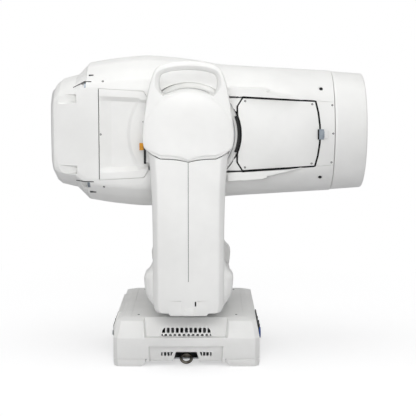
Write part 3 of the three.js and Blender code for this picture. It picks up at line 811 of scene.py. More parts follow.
for side, word in ((-1, "right"), (1, "left")):
    sc = soften(side_cover(side), 0.8, 2, 42)
    sc.name = f"{word}_side_panel"
    give(sc, WHITE, "head", (f"{word}_side_cover",))
    dr = soften(door(side), 0.8, 2, 42)
    dr.name = f"{word}_door_panel"
    give(dr, WHITE, "head", (f"{word}_service_door",))
    sl = soften(seal(side), 0.5, 2, 50)
    sl.name = f"{word}_door_seal"
    give(sl, RUBBER, "head", ())
    fp = soften(front_panel(side), 0.8, 2, 42)
    fp.name = f"{word}_front_skin"
    give(fp, WHITE, "head", (f"{word}_front_panel",))
    for up, uw in ((1, "upper"), (-1, "lower")):
        wb = soften(web(side, up), 0.5, 2, 42)
        wb.name = f"{word}_{uw}_corner"
        give(wb, WHITE, "head", ())
    # screws of the door, the panel and the covers
    scr = []
    for x, z in ((129, 76), (283.4, 68.0), (283.4, -68.0), (129, -76)):
        scr.append(screw((x, side * (wall(x, z) - 0.15), T + z), (0, side, 0), 2.4, 0.75))
    for x, z in ((330, 66), (331.5, 2), (330, -66)):
        scr.append(screw((x, side * (wall(x, z) - 0.1), T + z), (0, side, math.copysign(z and 0.4, z)), 2.3, 0.75))
    for z in (121, -121):
        scr.append(screw((-196, side * (wall(-196, z) - 0.1), T + z), (0, side * 0.72, math.copysign(0.69, z)), 2.6, 0.8))
    scr.append(screw((-103.2, side * (side_surface(-103.2, 28.7) - 0.0), T + 28.7), (0, side, 0), 2.4, 0.8))
    scr.append(screw((-202.0, side * (side_surface(-202.0, 0) - 0.0), T), (0, side, 0), 2.3, 0.7))
    for z in (103, -103):
        c = Vector((306, side * (wall(306, 103) - 0.9), T + z))
        scr.append(screw(tuple(c), (0, side * 0.72, math.copysign(0.69, z)), 4.2, 0.6))
    give(crisp(join(f"{word}_head_screws", scr)), SCREWM, "head", ())


# ---- rear cover: a faceted tub with deep walls, wedge pockets and bracket recesses
def ring28(x, h, w, t, k=1.0):
    q = quarter8(x, h, w, t)
    full = q + [(y, -z) for y, z in reversed(q[:-1])] + [(-y, -z) for y, z in q[1:]] + [(-y, z) for y, z in reversed(q[1:-1])]
    return [(x, y * k, T + z * k) for y, z in full]


REAR_ST = [(-327, 97, 60, .25), (-324, 100, 84, .22), (-319.5, 103, 110, .18), (-316, 105.5, 129, .12), (-313.5, 108, 146, .06), (-309, 117, 151.5, .03), (-298, 126, 153.2, .01), (-262, 135, 154, 0), (-235, 164, 154, 0)]


def rear_wall(x, z):
    """Half width of the rear cover's skin at (x, z'); further forward, that of the long covers."""
    if x >= -235:
        return wall(x, z)
    for a, b in zip(REAR_ST, REAR_ST[1:]):
        if a[0] <= x <= b[0]:
            f = (x - a[0]) / (b[0] - a[0])
            q = quarter8(x, *[lerp(a[k], b[k], f) for k in (1, 2, 3)])
            z = abs(z)
            for m, n in zip(q, q[1:]):
                if n[1] <= z <= m[1]:
                    return lerp(m[0], n[0], (m[1] - z) / max(1e-9, m[1] - n[1]))
    return 150.0


def rear_cover():
    rings = [ring28(*s) for s in REAR_ST] + [ring28(-206.6, 168.5, 154, 0)]
    ob = loft("rear", rings)
    cut = [
        box("c", -235.3, -190, -200, 200, T + 105.0, T + 200), box("c", -235.3, -190, -200, 200, T - 200, T - 105.0),
        # room inside
        loft("c", [[(-319, y, T + z) for y, z in rounded_rect(0, 0, 150, 150, 14)], [(-309.5, y, T + z) for y, z in rounded_rect(0, 0, 236, 186, 14)], [(-190, y, T + z) for y, z in rounded_rect(0, 0, 262, 196, 14)]]),
    ]
    boolean(ob, cut)
    # the upper and lower thirds are hollow too, up to the seam with the long covers
    cut = []
    for s in (-1, 1):
        pts = [(-128, T + s * 98), (128, T + s * 98), (112, T + s * 124), (-112, T + s * 124)]
        pts2 = [(-130, T + s * 100), (130, T + s * 100), (100, T + s * 152), (-100, T + s * 152)]
        cut.append(loft("c", [[(-305, y, z) for y, z in [(-108, T + s * 90), (108, T + s * 90), (78, T + s * 104), (-78, T + s * 104)]], [(-258, y, z) for y, z in [(-124, T + s * 90), (124, T + s * 90), (94, T + s * 118), (-94, T + s * 118)]], [(-230, y, z) for y, z in [(-124, T + s * 90), (124, T + s * 90), (94, T + s * 138), (-94, T + s * 138)]]]))
    boolean(ob, cut)
    cut = []
    for side in (-1, 1):
        Y = side * 154
        for s in (-1, 1):
            # wedge pocket, deepest at its front end
            a, b = (92.5, 71.5) if s > 0 else (-71.5, -92.5)
            ins = 0.0
            pts = [(-300, Y + side * 3, T + a + 3.5), (-300, Y + side * 3, T + b - 3.5), (-256.5, Y + side * 3, T + a + 0.8), (-256.5, Y + side * 3, T + b - 0.8),
                   (-299, Y - side * 2.5, T + a + 1.6), (-299, Y - side * 2.5, T + b + 1.0), (-257.5, Y - side * 17, T + a - 4.5), (-257.5, Y - side * 17, T + b + 4.5)]
            cut.append(hull("c", pts))
            # bracket recess above and below the flat side, on the sloping facet
            z0, z1 = 107.5, 123.5
            q = lambda x, z, k: (x, side * k, T + s * z)
            if s > 0:
                top, low = [(-239, 119.6), (-234, 119.6)], [(-266, 106.0), (-234, 106.0)]
            else:
                top, low = [(-244, 122.0), (-234, 122.0)], [(-261, 108.0), (-234, 108.0)]
            cut.append(hull("c", [q(x, z, 170) for x, z in top + low] + [q(x, z, rear_wall(-245, z) - (7.5 if (z > 115) == (s > 0) else 3)) for x, z in top + low]))
    boolean(ob, cut)
    cut = []
    for k in (-2, -1, 0, 1, 2):
        cut.append(prism("c", [(y, T + z) for y, z in rounded_rect(0, k * 26, 124, 13, 6.4, 5)], "x", -335, -310))
    for side in (-1, 1):
        for s in (-1, 1):
            # finger slot near the front edge
            cut.append(prism("c", [(x, y) for x, y in rounded_rect(-244, side * 112, 11, 5.5, 2.6)], "z", *sorted((T + s * 128, T + s * 170))))
    boolean(ob, cut)
    return tidy(ob, 0.4)


def painted_shadow_line(name, side, pts, w=1.5, proud=0.3):
    """A thin dark strip laid along a line of (x, z') points on the skin: painted shadow along an edge."""
    out = []
    fine = [(lerp(a[0], b[0], i / 8), lerp(a[1], b[1], i / 8)) for a, b in zip(pts, pts[1:]) for i in range(8)] + [pts[-1]]
    for (x0, z0), (x1, z1) in zip(fine, fine[1:]):
        c = []
        for x, z in ((x0, z0), (x1, z1)):
            for dz in (-w / 2, w / 2):
                yy = rear_wall(x, z + dz)
                c += [(x, side * (yy + proud), T + z + dz), (x, side * (yy - 1.4), T + z + dz)]
        out.append(hull("c", c))
    return out


for side, word in ((-1, "right"), (1, "left")):
    # painted shadow: dark strips along the upper edge of each bracket recess, where its wall lies in shade
    dark = painted_shadow_line("c", side, [(-266, 106.4), (-239, 120.2), (-222.5, 120.2)], 1.8) + painted_shadow_line("c", side, [(-262, -107.6), (-219, -109)], 1.8, 0.7)
    # oval ports in the long covers, just ahead of the rear cover: dark oval plates, painted shade for the inside of the
    # vent holes
    for x, z, w, h in ((-224.3, 134, 11.4, 3.6), (-223, -134.5, 15, 4.6)):
        yy = rear_wall(x, z)
        dark.append(edged("c", rounded_rect(x, T + z, w, h, h * 0.45, 4), "y", side * (yy - 4.0), side * (yy + 1.1), 0.4, 2))
    # line between the rear cover and the side panel
    zs = [-103 + 206 * i / 40 for i in range(41)]
    rows = [[(-206.4, z), (-205.85, z), (-205.3, z)] for z in zs]
    dark.append(plate("c", rows, lambda x, z: side_surface(-205.2, z) - 0.35, 2.2, side))
    give(crisp(join(f"{word}_rear_lines", dark), 40), RUBBER, "head", ())
    pins = []
    for x0, x1, z0, z1 in ((-238.5, -232.5, 106.6, 118.6), (-234, -228, -110.4, -123)):
        c = []
        if z0 > 0:
            for x in (x0, x1):
                for z in (z0, z1):
                    yy = rear_wall(-240, z) - 0.9
                    c += [(x, side * yy, T + z), (x, side * (yy - 4), T + z)]
        else:
            # follows the curve of the skin in short steps
            for i in range(5):
                c = []
                for x in (x0, x1):
                    for z in (lerp(z0, z1, i / 5), lerp(z0, z1, (i + 1) / 5)):
                        yy = rear_wall(x, z) + 0.6
                        c += [(x, side * yy, T + z), (x, side * (yy - 4), T + z)]
                if i < 4:
                    pins.append(hull("c", c))
        pins.append(soften(hull("c", c), 0.7, 2, 30))
    give(crisp(join(f"{word}_bracket_pins", pins), 40), LATCH, "head", ())

rc = soften(rear_cover(), 1.4, 2, 24)
rc.name = "rear_housing"
give(rc, WHITE, "head", ("rear_cover",))


# ---- hood, lens and its ring
def arc(cx, cr, r, a0, a1, n):
    return [(cx + r * math.cos(math.radians(lerp(a0, a1, i / n))), cr + r * math.sin(math.radians(lerp(a0, a1, i / n)))) for i in range(n + 1)]


hood_profile = ([(337.0, 129)] + [(337.0, 140.9), (337.3, 141.6), (338, 142)] + [(345, 141.7), (352, 141), (366, 140), (380, 139), (394, 138), (404, 137.3)]
                + arc(407.6, 132.6, 4.4, 80, 10, 6) + [(411.9, 128.9), (411.4, 128.3)] + [(402, 127.9), (388, 128.0), (380, 128.0), (372.6, 127.8), (371.9, 127.0), (371.7, 119.2), (371.0, 118.3), (366.6, 118.3), (365.8, 118.8), (362, 128), (350, 128.4)])
hood = lathe("hood_skin", hood_profile, "x", (0, 0, T), 128)
give(crisp(hood, 38), WHITE, "head", ("front_hood",))
lens_profile = [(372.2, 0), (372.2, 60), (372.2, 122), (372.8, 125.6), (374, 127.0), (383, 127.2)] + [(384 + 13 * (1 - (r / 127.4) ** 2), r) for r in [126 - i * 6 for i in range(21)]] + [(397, 0)]
lens = lathe("lens_glass_body", lens_profile, "x", (0, 0, T), 96)
give(crisp(lens, 40), GLASS, "head", ("front_lens",))
retain = lathe("lens_ring", [(388.2, 118.4), (385.0, 127.4), (391.2, 127.4), (392, 126.6), (392, 120), (391.4, 118.8), (390.4, 118.3)], "x", (0, 0, T), 96)
give(crisp(retain, 38), BLACK, "head", ("lens_retainer",))

# ---- door catches: a folded leaf with a rolled barrel, standing on a pale shoe
for side, word in ((-1, "right"), (1, "left")):
    y = lambda v: side * v
    leaf = edged("leaf", rounded_rect(304.2, T, 11.6, 23.4, 1.4), "y", y(147.7), y(149.8), 0.6, 3)
    hook = edged("hook", rounded_rect(309.6, T, 2.4, 14.0, 0.8), "y", y(149.0), y(151.0), 0.5, 2)
    lat = join(f"{word}_catch", [leaf, hook])
    give(soften(lat, 0.2, 2, 50), LATCH, f"{word}_latch", (f"{word}_door_latch",))
    barrel = lathe("barrel", [(T - 11.7, 0), (T - 11.7, 1.5), (T - 11.3, 1.9), (T + 11.3, 1.9), (T + 11.7, 1.5), (T + 11.7, 0)], "z", (297.3, y(149.0), 0), 24)
    give(crisp(barrel, 40), PAINTED, f"{word}_latch", ())
    barrel.name = f"{word}_catch_pin"
    flap = edged("flap", rounded_rect(315.2, T, 9.6, 19.0, 1.6), "y", y(147.6), y(149.3), 0.5, 3)
    give(crisp(flap, 40), WHITE2, f"{word}_latch", ())
    flap.name = f"{word}_catch_flap"

# ================================================================ YOKE
CAP = [(0, 686), (38, 683.5), (64, 675), (74, 665), (80, 650), (85.5, 632), (91, 606), (96.5, 572), (101, 536), (102, 512), (98, 496), (84, 487), (62, 477), (30, 475), (12, 470), (0, 465)]
HOLE = [(0, 666), (34, 663.5), (58, 657), (63, 648), (64, 630), (57, 609), (40, 617.5), (20, 623.5), (0, 625.5)]


def both(half):
    return half + [(-x, z) for x, z in reversed(half[1:-1])]


def cap_outline():
    half = CAP
    r = {0: 10, 1: 14, 2: 9, 3: 7, 4: 8, 5: 14, 6: 14, 7: 16, 8: 14, 9: 9, 10: 3.5, 11: 5, 12: 3.5, 13: 8, 14: 6, 15: 1.2}
    rs = [r[i] for i in range(16)] + [r[i] for i in range(14, 0, -1)]
    return bezier_corners(both(half), rs, 5)


def hole_outline():
    half = HOLE
    r = [10, 10, 6, 6, 8, 3.0, 9, 10, 10]
    rs = r + [r[i] for i in range(7, 0, -1)]
    return bezier_corners(both(half), rs, 5)


def yv(pts, y):
    return [(x, y, z) for x, z in pts]


def lip(x):
    """How far the joint line lies below the front edge of the cap."""
    return table([(0, 2.8), (10, 4.6), (30, 6.8), (62, 7.4), (80, 6.6), (92, 4.6), (100, 2.0), (103, 0.0)], abs(x))


def joint_outline():
    return [(x, z - lip(x) * clamp((508 - z) / 10)) if z < 508 else (x, z) for x, z in cap_outline()]


def under_edge(s):
    """The wedge taken off below the front edge of the cap."""
    low = sorted([p for p in cap_outline() if p[1] < 497], key=lambda p: p[0])
    verts, faces = [], []
    for x, z in low:
        j = z - lip(x)
        m = (z - j) / 7.0
        verts += [(x * 1.0, s * 243.4, j), (x, s * 262, j + m * 18.6), (x, s * 262, j - 14), (x, s * 243.4, j - 14)]
    n = len(low)
    for i in range(n - 1):
        for k in range(4):
            faces.append([i * 4 + k, i * 4 + (k + 1) % 4, (i + 1) * 4 + (k + 1) % 4, (i + 1) * 4 + k])
    faces += [[0, 1, 2, 3], [(n - 1) * 4 + k for k in (3, 2, 1, 0)]]
    return mesh("wedge", verts, faces)


def cap(side):
    co, ho, jo = cap_outline(), hole_outline(), joint_outline()
    s = side
    # body with a rounded front edge
    rings = [yv(jo, s * 164.6), yv(jo, s * 239.0)]
    for i in range(1, 6):
        q = i / 5 * PI / 2
        rings.append(yv(offset(jo, 3.4 * (1 - math.cos(q)) + 0.0), s * (239.0 + 7.0 * math.sin(q))))
    ob = loft("cap", rings)
    # raised dome plate over the hub
    disc = [(102 * math.cos(a), T + 102 * math.sin(a)) for a in [2 * PI * i / 120 for i in range(120)]]
    dome = loft("dome", [yv(offset(disc, 1.5), s * 238)] + [yv(offset(disc, d), s * y) for d, y in ((1.5, 245.8), (2.2, 246.5), (4.5, 247.5), (8, 248.5), (13, 249.5), (19, 250.4), (27, 251.1), (37, 251.6), (50, 251.9), (64, 252.0))])
    clip = loft("clip", [yv(offset(co, 0.6), s * 236), yv(offset(co, 0.6), s * 248.6), yv(offset(co, 1.2), s * 250.4), yv(offset(co, 2.6), s * 251.6), yv(offset(co, 4.2), s * 252.3), yv(offset(co, 4.3), s * 254)])
    boolean(dome, [clip], "INTERSECT")
    # the handle opening is flared towards the front
    out = offset(ho, -9.2)
    out = [(x, min(z, 676.5)) if z > 640 else (x, z) for x, z in out]
    low = []
    for (x, z), (x2, z2) in zip(ho, out):
        k = smooth((z - 606) / 26)          # the flare fades towards the dome
        low.append((lerp(x, x2, k), lerp(z, z2, k)))
    mid = [(lerp(a[0], b[0], 0.34), lerp(a[1], b[1], 0.34)) for a, b in zip(ho, low)]
    near = [(lerp(a[0], b[0], 0.1), lerp(a[1], b[1], 0.1)) for a, b in zip(ho, low)]
    flare = loft("flare", [yv(ho, s * 160), yv(ho, s * 233), yv(near, s * 236), yv(mid, s * 239.5), yv(low, s * 245.6), yv(offset(low, -0.9), s * 246.1), yv(offset(low, -1.0), s * 249)])
    # space behind the handle bar and inside the cap
    back = box("c", -130, 130, *sorted((s * 214.0, s * 150.0)), 612.5, 700)
    inn = offset(co, 4.6)
    room = loft("c", [yv([(x, min(z, 604)) for x, z in inn], s * 150), yv([(x, min(z, 604)) for x, z in inn], s * 241.5)])
    notch = box("c", -84, 84, *sorted((s * 216.0, s * 150.0)), 440, 500)
    boolean(ob, [flare])
    boolean(ob, [dome], "UNION")
    boolean(ob, [back, room, notch, under_edge(s)])
    tidy(ob, 0.05)
    return crisp(ob, 28)


def arm(side):
    s = side
    def o(x, yo, c, z, n=3):
        pts = [(-x, -164.6), (x, -164.6), (x, -(yo - c)), (x - c * .8, -yo), (-x + c * .8, -yo), (-x, -(yo - c))]
        return pts
    def ring(x, yo, c, z):
        pts = bezier_corners(o(x, yo, c, z), [0, 0, 5, 3.2, 3.2, 5], 3)
        return [(p[0], -s * p[1], z) for p in pts]
    st = pchip([(114, 66), (122, 73), (131, 78.4), (160, 80), (250, 80), (380, 82), (500, 90)])
    yo = pchip([(114, 244), (160, 247), (250, 247), (380, 246), (500, 243)])
    cc = pchip([(114, 12), (160, 14), (250, 14), (380, 16), (500, 18)])
    zs = [114, 116, 119, 124, 130, 138, 148, 160] + [160 + i * 20 for i in range(1, 17)] + [500]
    ob = loft("arm", [ring(st(z) - (1.4 if z < 115 else 0.5 if z < 117 else 0), yo(z) - (1.4 if z < 115 else 0.5 if z < 117 else 0), cc(z), z) for z in zs])
    def fl(x, z, d=0.0):
        pts = bezier_corners([(-x + d, -164.6 + (20 if d else 0)), (x - d, -164.6 + (20 if d else 0)), (x - d, -(212 - d)), (x - 16, -(226 - d)), (-x + 16, -(226 - d)), (-x + d, -(212 - d))], [0, 0, 7, 6, 6, 7], 3)
        return [(p[0], -s * p[1], z) for p in pts]
    fz = bezier_corners([(114, 66), (130, 80), (145, 91), (159, 98), (178, 100.5), (197, 102), (206, 98), (213, 90), (222, 85), (234, 81)], [0, 5, 6, 6, 6, 4, 3.5, 4, 6, 0], 3, closed=False)
    flare = loft("flare", [fl(x, z) for z, x in fz])
    boolean(ob, [flare], "UNION")
    inner = loft("c", [[(x, s * y, z) for x, y in ((-st(z) + 3.2, 150), (st(z) - 3.2, 150), (st(z) - 3.2, yo(z) - cc(z) - 2.6), (st(z) - cc(z) * .8 - 1.4, yo(z) - 3.2), (-st(z) + cc(z) * .8 + 1.4, yo(z) - 3.2), (-st(z) + 3.2, yo(z) - cc(z) - 2.6))] for z in (123, 160, 250, 380, 502)])
    fin = loft("c", [fl(x, z, 3.5) for z, x in ((123, 74), (130, 79.5), (144, 90), (159, 97.6), (178, 100.2), (196, 101.4), (205, 97), (212, 89.6), (222, 84.4), (230, 81))])
    boolean(fin, [box("c", -130, 130, *sorted((s * 167.4, s * 245)), 100, 240)], "INTERSECT")
    co = cap_outline()
    capcut = prism("c", [(x * 1.012, z - 0.9 if z < 500 else z) for x, z in joint_outline()], "y", *sorted((s * 262, s * 150)))
    boolean(ob, [inner, fin, capcut, box("c", -140, 140, *sorted((s * 262, s * 150)), 495, 620), box("c", -50.6, 50.6, *sorted((s * 210, s * 150)), 110, 150.4)])
    # seam down the middle, two shallow recesses, their slot and the ribs at the foot
    cut = [loft("c", [[(-0.65, s * (yo(z) + 1), z), (0.65, s * (yo(z) + 1), z), (0.5, s * (yo(z) - 1.9), z), (-0.5, s * (yo(z) - 1.9), z)] for z in (192, 250, 315, 380, 440, 462)])]
    for k in (-1, 1):
        cut.append(prism("c", [(k * 44.5, 120.2), (k * 130, 123.5), (k * 130, 100), (k * 41, 100), (k * 41.8, 116.2)], "y", *sorted((s * 199, s * 262))))
    for a, b in ((-58, -16), (19, 57)):
        lo, hi = min(a, b), max(a, b)
        deep, flat = (b, a) if a < 0 else (a, b)
        cut.append(hull("c", [(flat, s * 247.4, 150), (flat, s * 247.4, 130), (deep, s * 247.4, 150.5), (deep, s * 247.4, 127), (deep + (0.8 if a > 0 else -0.8), s * 242.9, 147.6), (deep + (0.8 if a > 0 else -0.8), s * 245.2, 131), (flat, s * 249, 150), (flat, s * 249, 130), (deep, s * 249, 150.5), (deep, s * 249, 126)]))
    cut.append(prism("c", rounded_rect(15.8, 142.0, 3.4, 11.6, 1.4, 3), "y", *sorted((s * 251, s * 238))))
    boolean(ob, cut)
    add = [edged("rib", [(-11, 114.8), (13, 114.8), (12, 133), (-9.5, 133)], "y", s * 240, s * 247.6, 1.0, 2)]
    boolean(ob, add, "UNION")
    bm = bmesh.new()
    bm.from_mesh(ob.data)
    # keep the one body that forms the cover
    seen, best = set(), []
    for f in bm.faces:
        if f in seen:
            continue
        stack, part = [f], []
        seen.add(f)
        while stack:
            g = stack.pop()
            part.append(g)
            for e in g.edges:
                for k in e.link_faces:
                    if k not in seen:
                        seen.add(k)
                        stack.append(k)
        if len(part) > len(best):
            best = part
    best = set(best)
    bmesh.ops.delete(bm, geom=[f for f in bm.faces if f not in best], context="FACES")
    bm.to_mesh(ob.data)
    bm.free()
    tidy(ob, 0.05)
    return crisp(ob, 24)


def inner_cover(side):
    s = side
    o = bezier_corners([(-76, 170), (76, 170), (76, 240), (78, 380), (84, 450), (84, 590), (50, 604), (-50, 604), (-84, 590), (-84, 450), (-78, 380), (-76, 240)], [3, 3, 20, 20, 20, 12, 10, 10, 12, 20, 20, 20], 4)
    ob = loft("inner", [yv(o, s * 164.2), yv(o, s * 162.2), yv(offset(o, 0.25), s * 161.75), yv(offset(o, 0.8), s * 161.4)])
    disc = lathe("disc", [(s * 163.8, 0), (s * 163.8, 103.4), (s * 149.0, 104), (s * 147.2, 103.2), (s * 146.3, 101.6), (s * 146.0, 99.5), (s * 146.0, 0)], "y", (0, 0, T), 96)
    boolean(ob, [disc], "UNION")
    cup = lathe("cup", [(s * 170, 0), (s * 170, 100.5), (s * 149.5, 100.5), (s * 149.5, 0)], "y", (0, 0, T), 72)
    bore = lathe("bore", [(s * 172, 0), (s * 172, 40), (s * 140, 40), (s * 140, 0)], "y", (0, 0, T), 64)
    boolean(ob, [cup, bore])
    tidy(ob, 0.05)
    return crisp(ob, 30)


def arm_lines(side):
    """The dark parting strip down the middle of the arm and the dark back of its slot."""
    s = side
    yo = pchip([(114, 244), (160, 247), (250, 247), (380, 246), (500, 243)])
    strip = loft("strip", [[(-0.6, s * (yo(z) - 0.9), z), (0.6, s * (yo(z) - 0.9), z), (0.45, s * (yo(z) - 1.85), z), (-0.45, s * (yo(z) - 1.85), z)] for z in (193, 250, 315, 380, 440, 460)])
    back = edged("back", rounded_rect(15.8, 142.0, 6.4, 15.0, 1.6, 3), "y", s * 241.0, s * 243.2, 0.3, 2)
    return join("lines", [strip, back])


cap_r = cap(-1)
arm_r = arm(-1)
inner_r = inner_cover(-1)
for ob, part in ((cap_r, "cap"), (arm_r, "cover"), (inner_r, "inner_cover")):
    ob.name = f"right_yoke_{part}"
    other = mirror_copy(ob, f"left_yoke_{part}")
    for o, word in ((ob, "right"), (other, "left")):
        o.data.set_sharp_from_angle(angle=math.radians(28))
        for p in o.data.polygons:
            p.use_smooth = True
        give(o, WHITE, "yoke", (f"{word}_arm_{part}",))

for side, word in ((-1, "right"), (1, "left")):
    al = crisp(arm_lines(side), 40)
    al.name = f"{word}_arm_parting_strip"
    give(al, RUBBER, "yoke", ())

# painted shadow: a dark strip between each cap and the arm below it, where shade falls
for side, word in ((-1, "right"), (1, "left")):
    low = sorted([p for p in joint_outline() if p[1] < 500], key=lambda p: p[0])
    verts, faces = [], []
    for x, z in low:
        yb = 244.5 if abs(x) < 66 else 244.5 - (abs(x) - 66) * 0.55
        verts += [(x * 0.985, side * 226, z + 1.0), (x * 0.985, side * (yb - 3.2), z + 1.0), (x * 0.985, side * (yb - 3.2), z - 1.2), (x * 0.985, side * 226, z - 1.2)]
    n = len(low)
    for i in range(n - 1):
        for k in range(4):
            faces.append([i * 4 + k, i * 4 + (k + 1) % 4, (i + 1) * 4 + (k + 1) % 4, (i + 1) * 4 + k])
    faces += [[0, 1, 2, 3], [(n - 1) * 4 + k for k in (3, 2, 1, 0)]]
    strip = crisp(mesh(f"{word}_cap_painted_shadow", verts, faces), 40)
    give(strip, RUBBER, "yoke", ())


# ---- cross beam cover
def crossbar():
    prof = bezier_corners([(114, 64), (128, 82), (148, 97), (160, 100), (168, 95)], [0, 6, 8, 5, 0], 4, closed=False)
    cr = {114: 14, 128: 20, 148: 24, 160: 24, 168: 22}
    def ring(hx, hy, c, z):
        pts = [(-hx + c, -hy), (hx - c, -hy), (hx, -hy + c), (hx, hy - c), (hx - c, hy), (-hx + c, hy), (-hx, hy - c), (-hx, -hy + c)]
        return [(x, y, z) for x, y in bezier_corners(pts, 5, 3)]
    c = lambda z: table([(114, 14), (128, 20), (148, 24), (168, 22)], z)
    ob = loft("cross", [ring(hx, 163.4, c(z), z) for z, hx in prof[:-1]] + [ring(prof[-1][1] + 0.6, 163.4, c(168), 167.2), ring(prof[-1][1] - 0.6, 163.0, c(168), 168)])
    ring2 = lambda hx, hy, c, z: [(x, y, z) for x, y in [(-hx + c, -hy), (hx - c, -hy), (hx, -hy + c), (hx, hy - c), (hx - c, hy), (-hx + c, hy), (-hx, hy - c), (-hx, -hy + c)]]
    room = loft("c", [ring2(60, 170, 12, 110), ring2(78.5, 170, 18, 129), ring2(93, 170, 22, 148.5), ring2(96, 170, 22, 159), ring2(91.6, 170, 20, 164.5)])
    bore = lathe("c", [(90, 0), (90, 93), (116, 93), (116, 0)], "z", (0, 0, 0), 72)
    cut = [room, bore]
    boolean(ob, cut)
    tidy(ob, 0.05)
    return crisp(ob, 26)


xb = crossbar()
xb.name = "crossbar_skin"
give(xb, WHITE, "yoke", ("crossbar_cover",))

# lock tabs: ribbed thumb pieces
def tab(name, x0, x1, y0, y1, z0, z1, ribs, axis):
    if axis == "x":
        ob = edged(name, rounded_rect((y0 + y1) / 2, (z0 + z1) / 2, y1 - y0, z1 - z0, 1.4), "x", x1 if ribs < 0 else x0, x0 if ribs < 0 else x1, 0.8, 3)
    return ob


t1 = tab("tilt_lock_tab", -112, -102.6, -178, -169, 484, 500, -1, "x")
cut = [box("c", -113, -111.3, -179, -168, 487.2 + i * 3.1, 488.3 + i * 3.1) for i in range(4)] + [box("c", -110.6 + i * 2.2, -109.7 + i * 2.2, -179, -177.4, 486, 498) for i in range(3)]
boolean(t1, cut)
give(crisp(t1, 30), YELLOW, "tilt_lock", ("tilt_lock_slider",))
t2 = tab("pan_lock_tab", -107, -100.5, -9, 9, 148, 160, -1, "x")
cut = [box("c", -108, -106.3, -6.6 + i * 3.2, -5.4 + i * 3.2, 147, 161) for i in range(5)]
boolean(t2, cut)
give(crisp(t2, 30), YELLOW, "pan_lock", ("pan_lock_slider",))

# slot that the tilt lock tab runs in, on the rear edge of the right arm
slot_plate = edged("tilt_lock_guide", rounded_rect(-173.5, 483.0, 13.5, 60, 1.5), "x", -97.0, -101.9, 0.5, 2)
slot_block = edged("tilt_lock_block", rounded_rect(-173.5, 483.0, 10.5, 56, 2.5), "x", -82.0, -96.9, 0.8, 2)
give(crisp(slot_block, 30), WHITE, "yoke", ())
give(crisp(slot_plate, 30), BLACK, "yoke", ())
pan_plate = edged("pan_lock_guide", rounded_rect(8.0, 154, 44, 9.5, 1.5), "x", -96.8, -100.3, 0.5, 2)
give(crisp(pan_plate, 30), BLACK, "yoke", ())

# ================================================================ BASE
def plan8(x0, x1, y, c, z):
    return [(x0 + c, -y, z), (x1 - c, -y, z), (x1, -y + c, z), (x1, y - c, z), (x1 - c, y, z), (x0 + c, y, z), (x0, y - c, z), (x0, -y + c, z)]


def pod(s, xw, xb, d=0.0):
    return hull("pod", [p for k in (-1, 1) for p in [(s * (xw - d), k * (112 - d), -2 - d), (s * (xw - d), k * (112 - d), 60 - d), (s * (xb - 8 - d), k * (104 - d), 94 - d),
                                                    (s * 120, k * (128 - d), -2 - d), (s * 120, k * (128 - d), 60 - d), (s * 120, k * (112 - d), 94 - d)]])


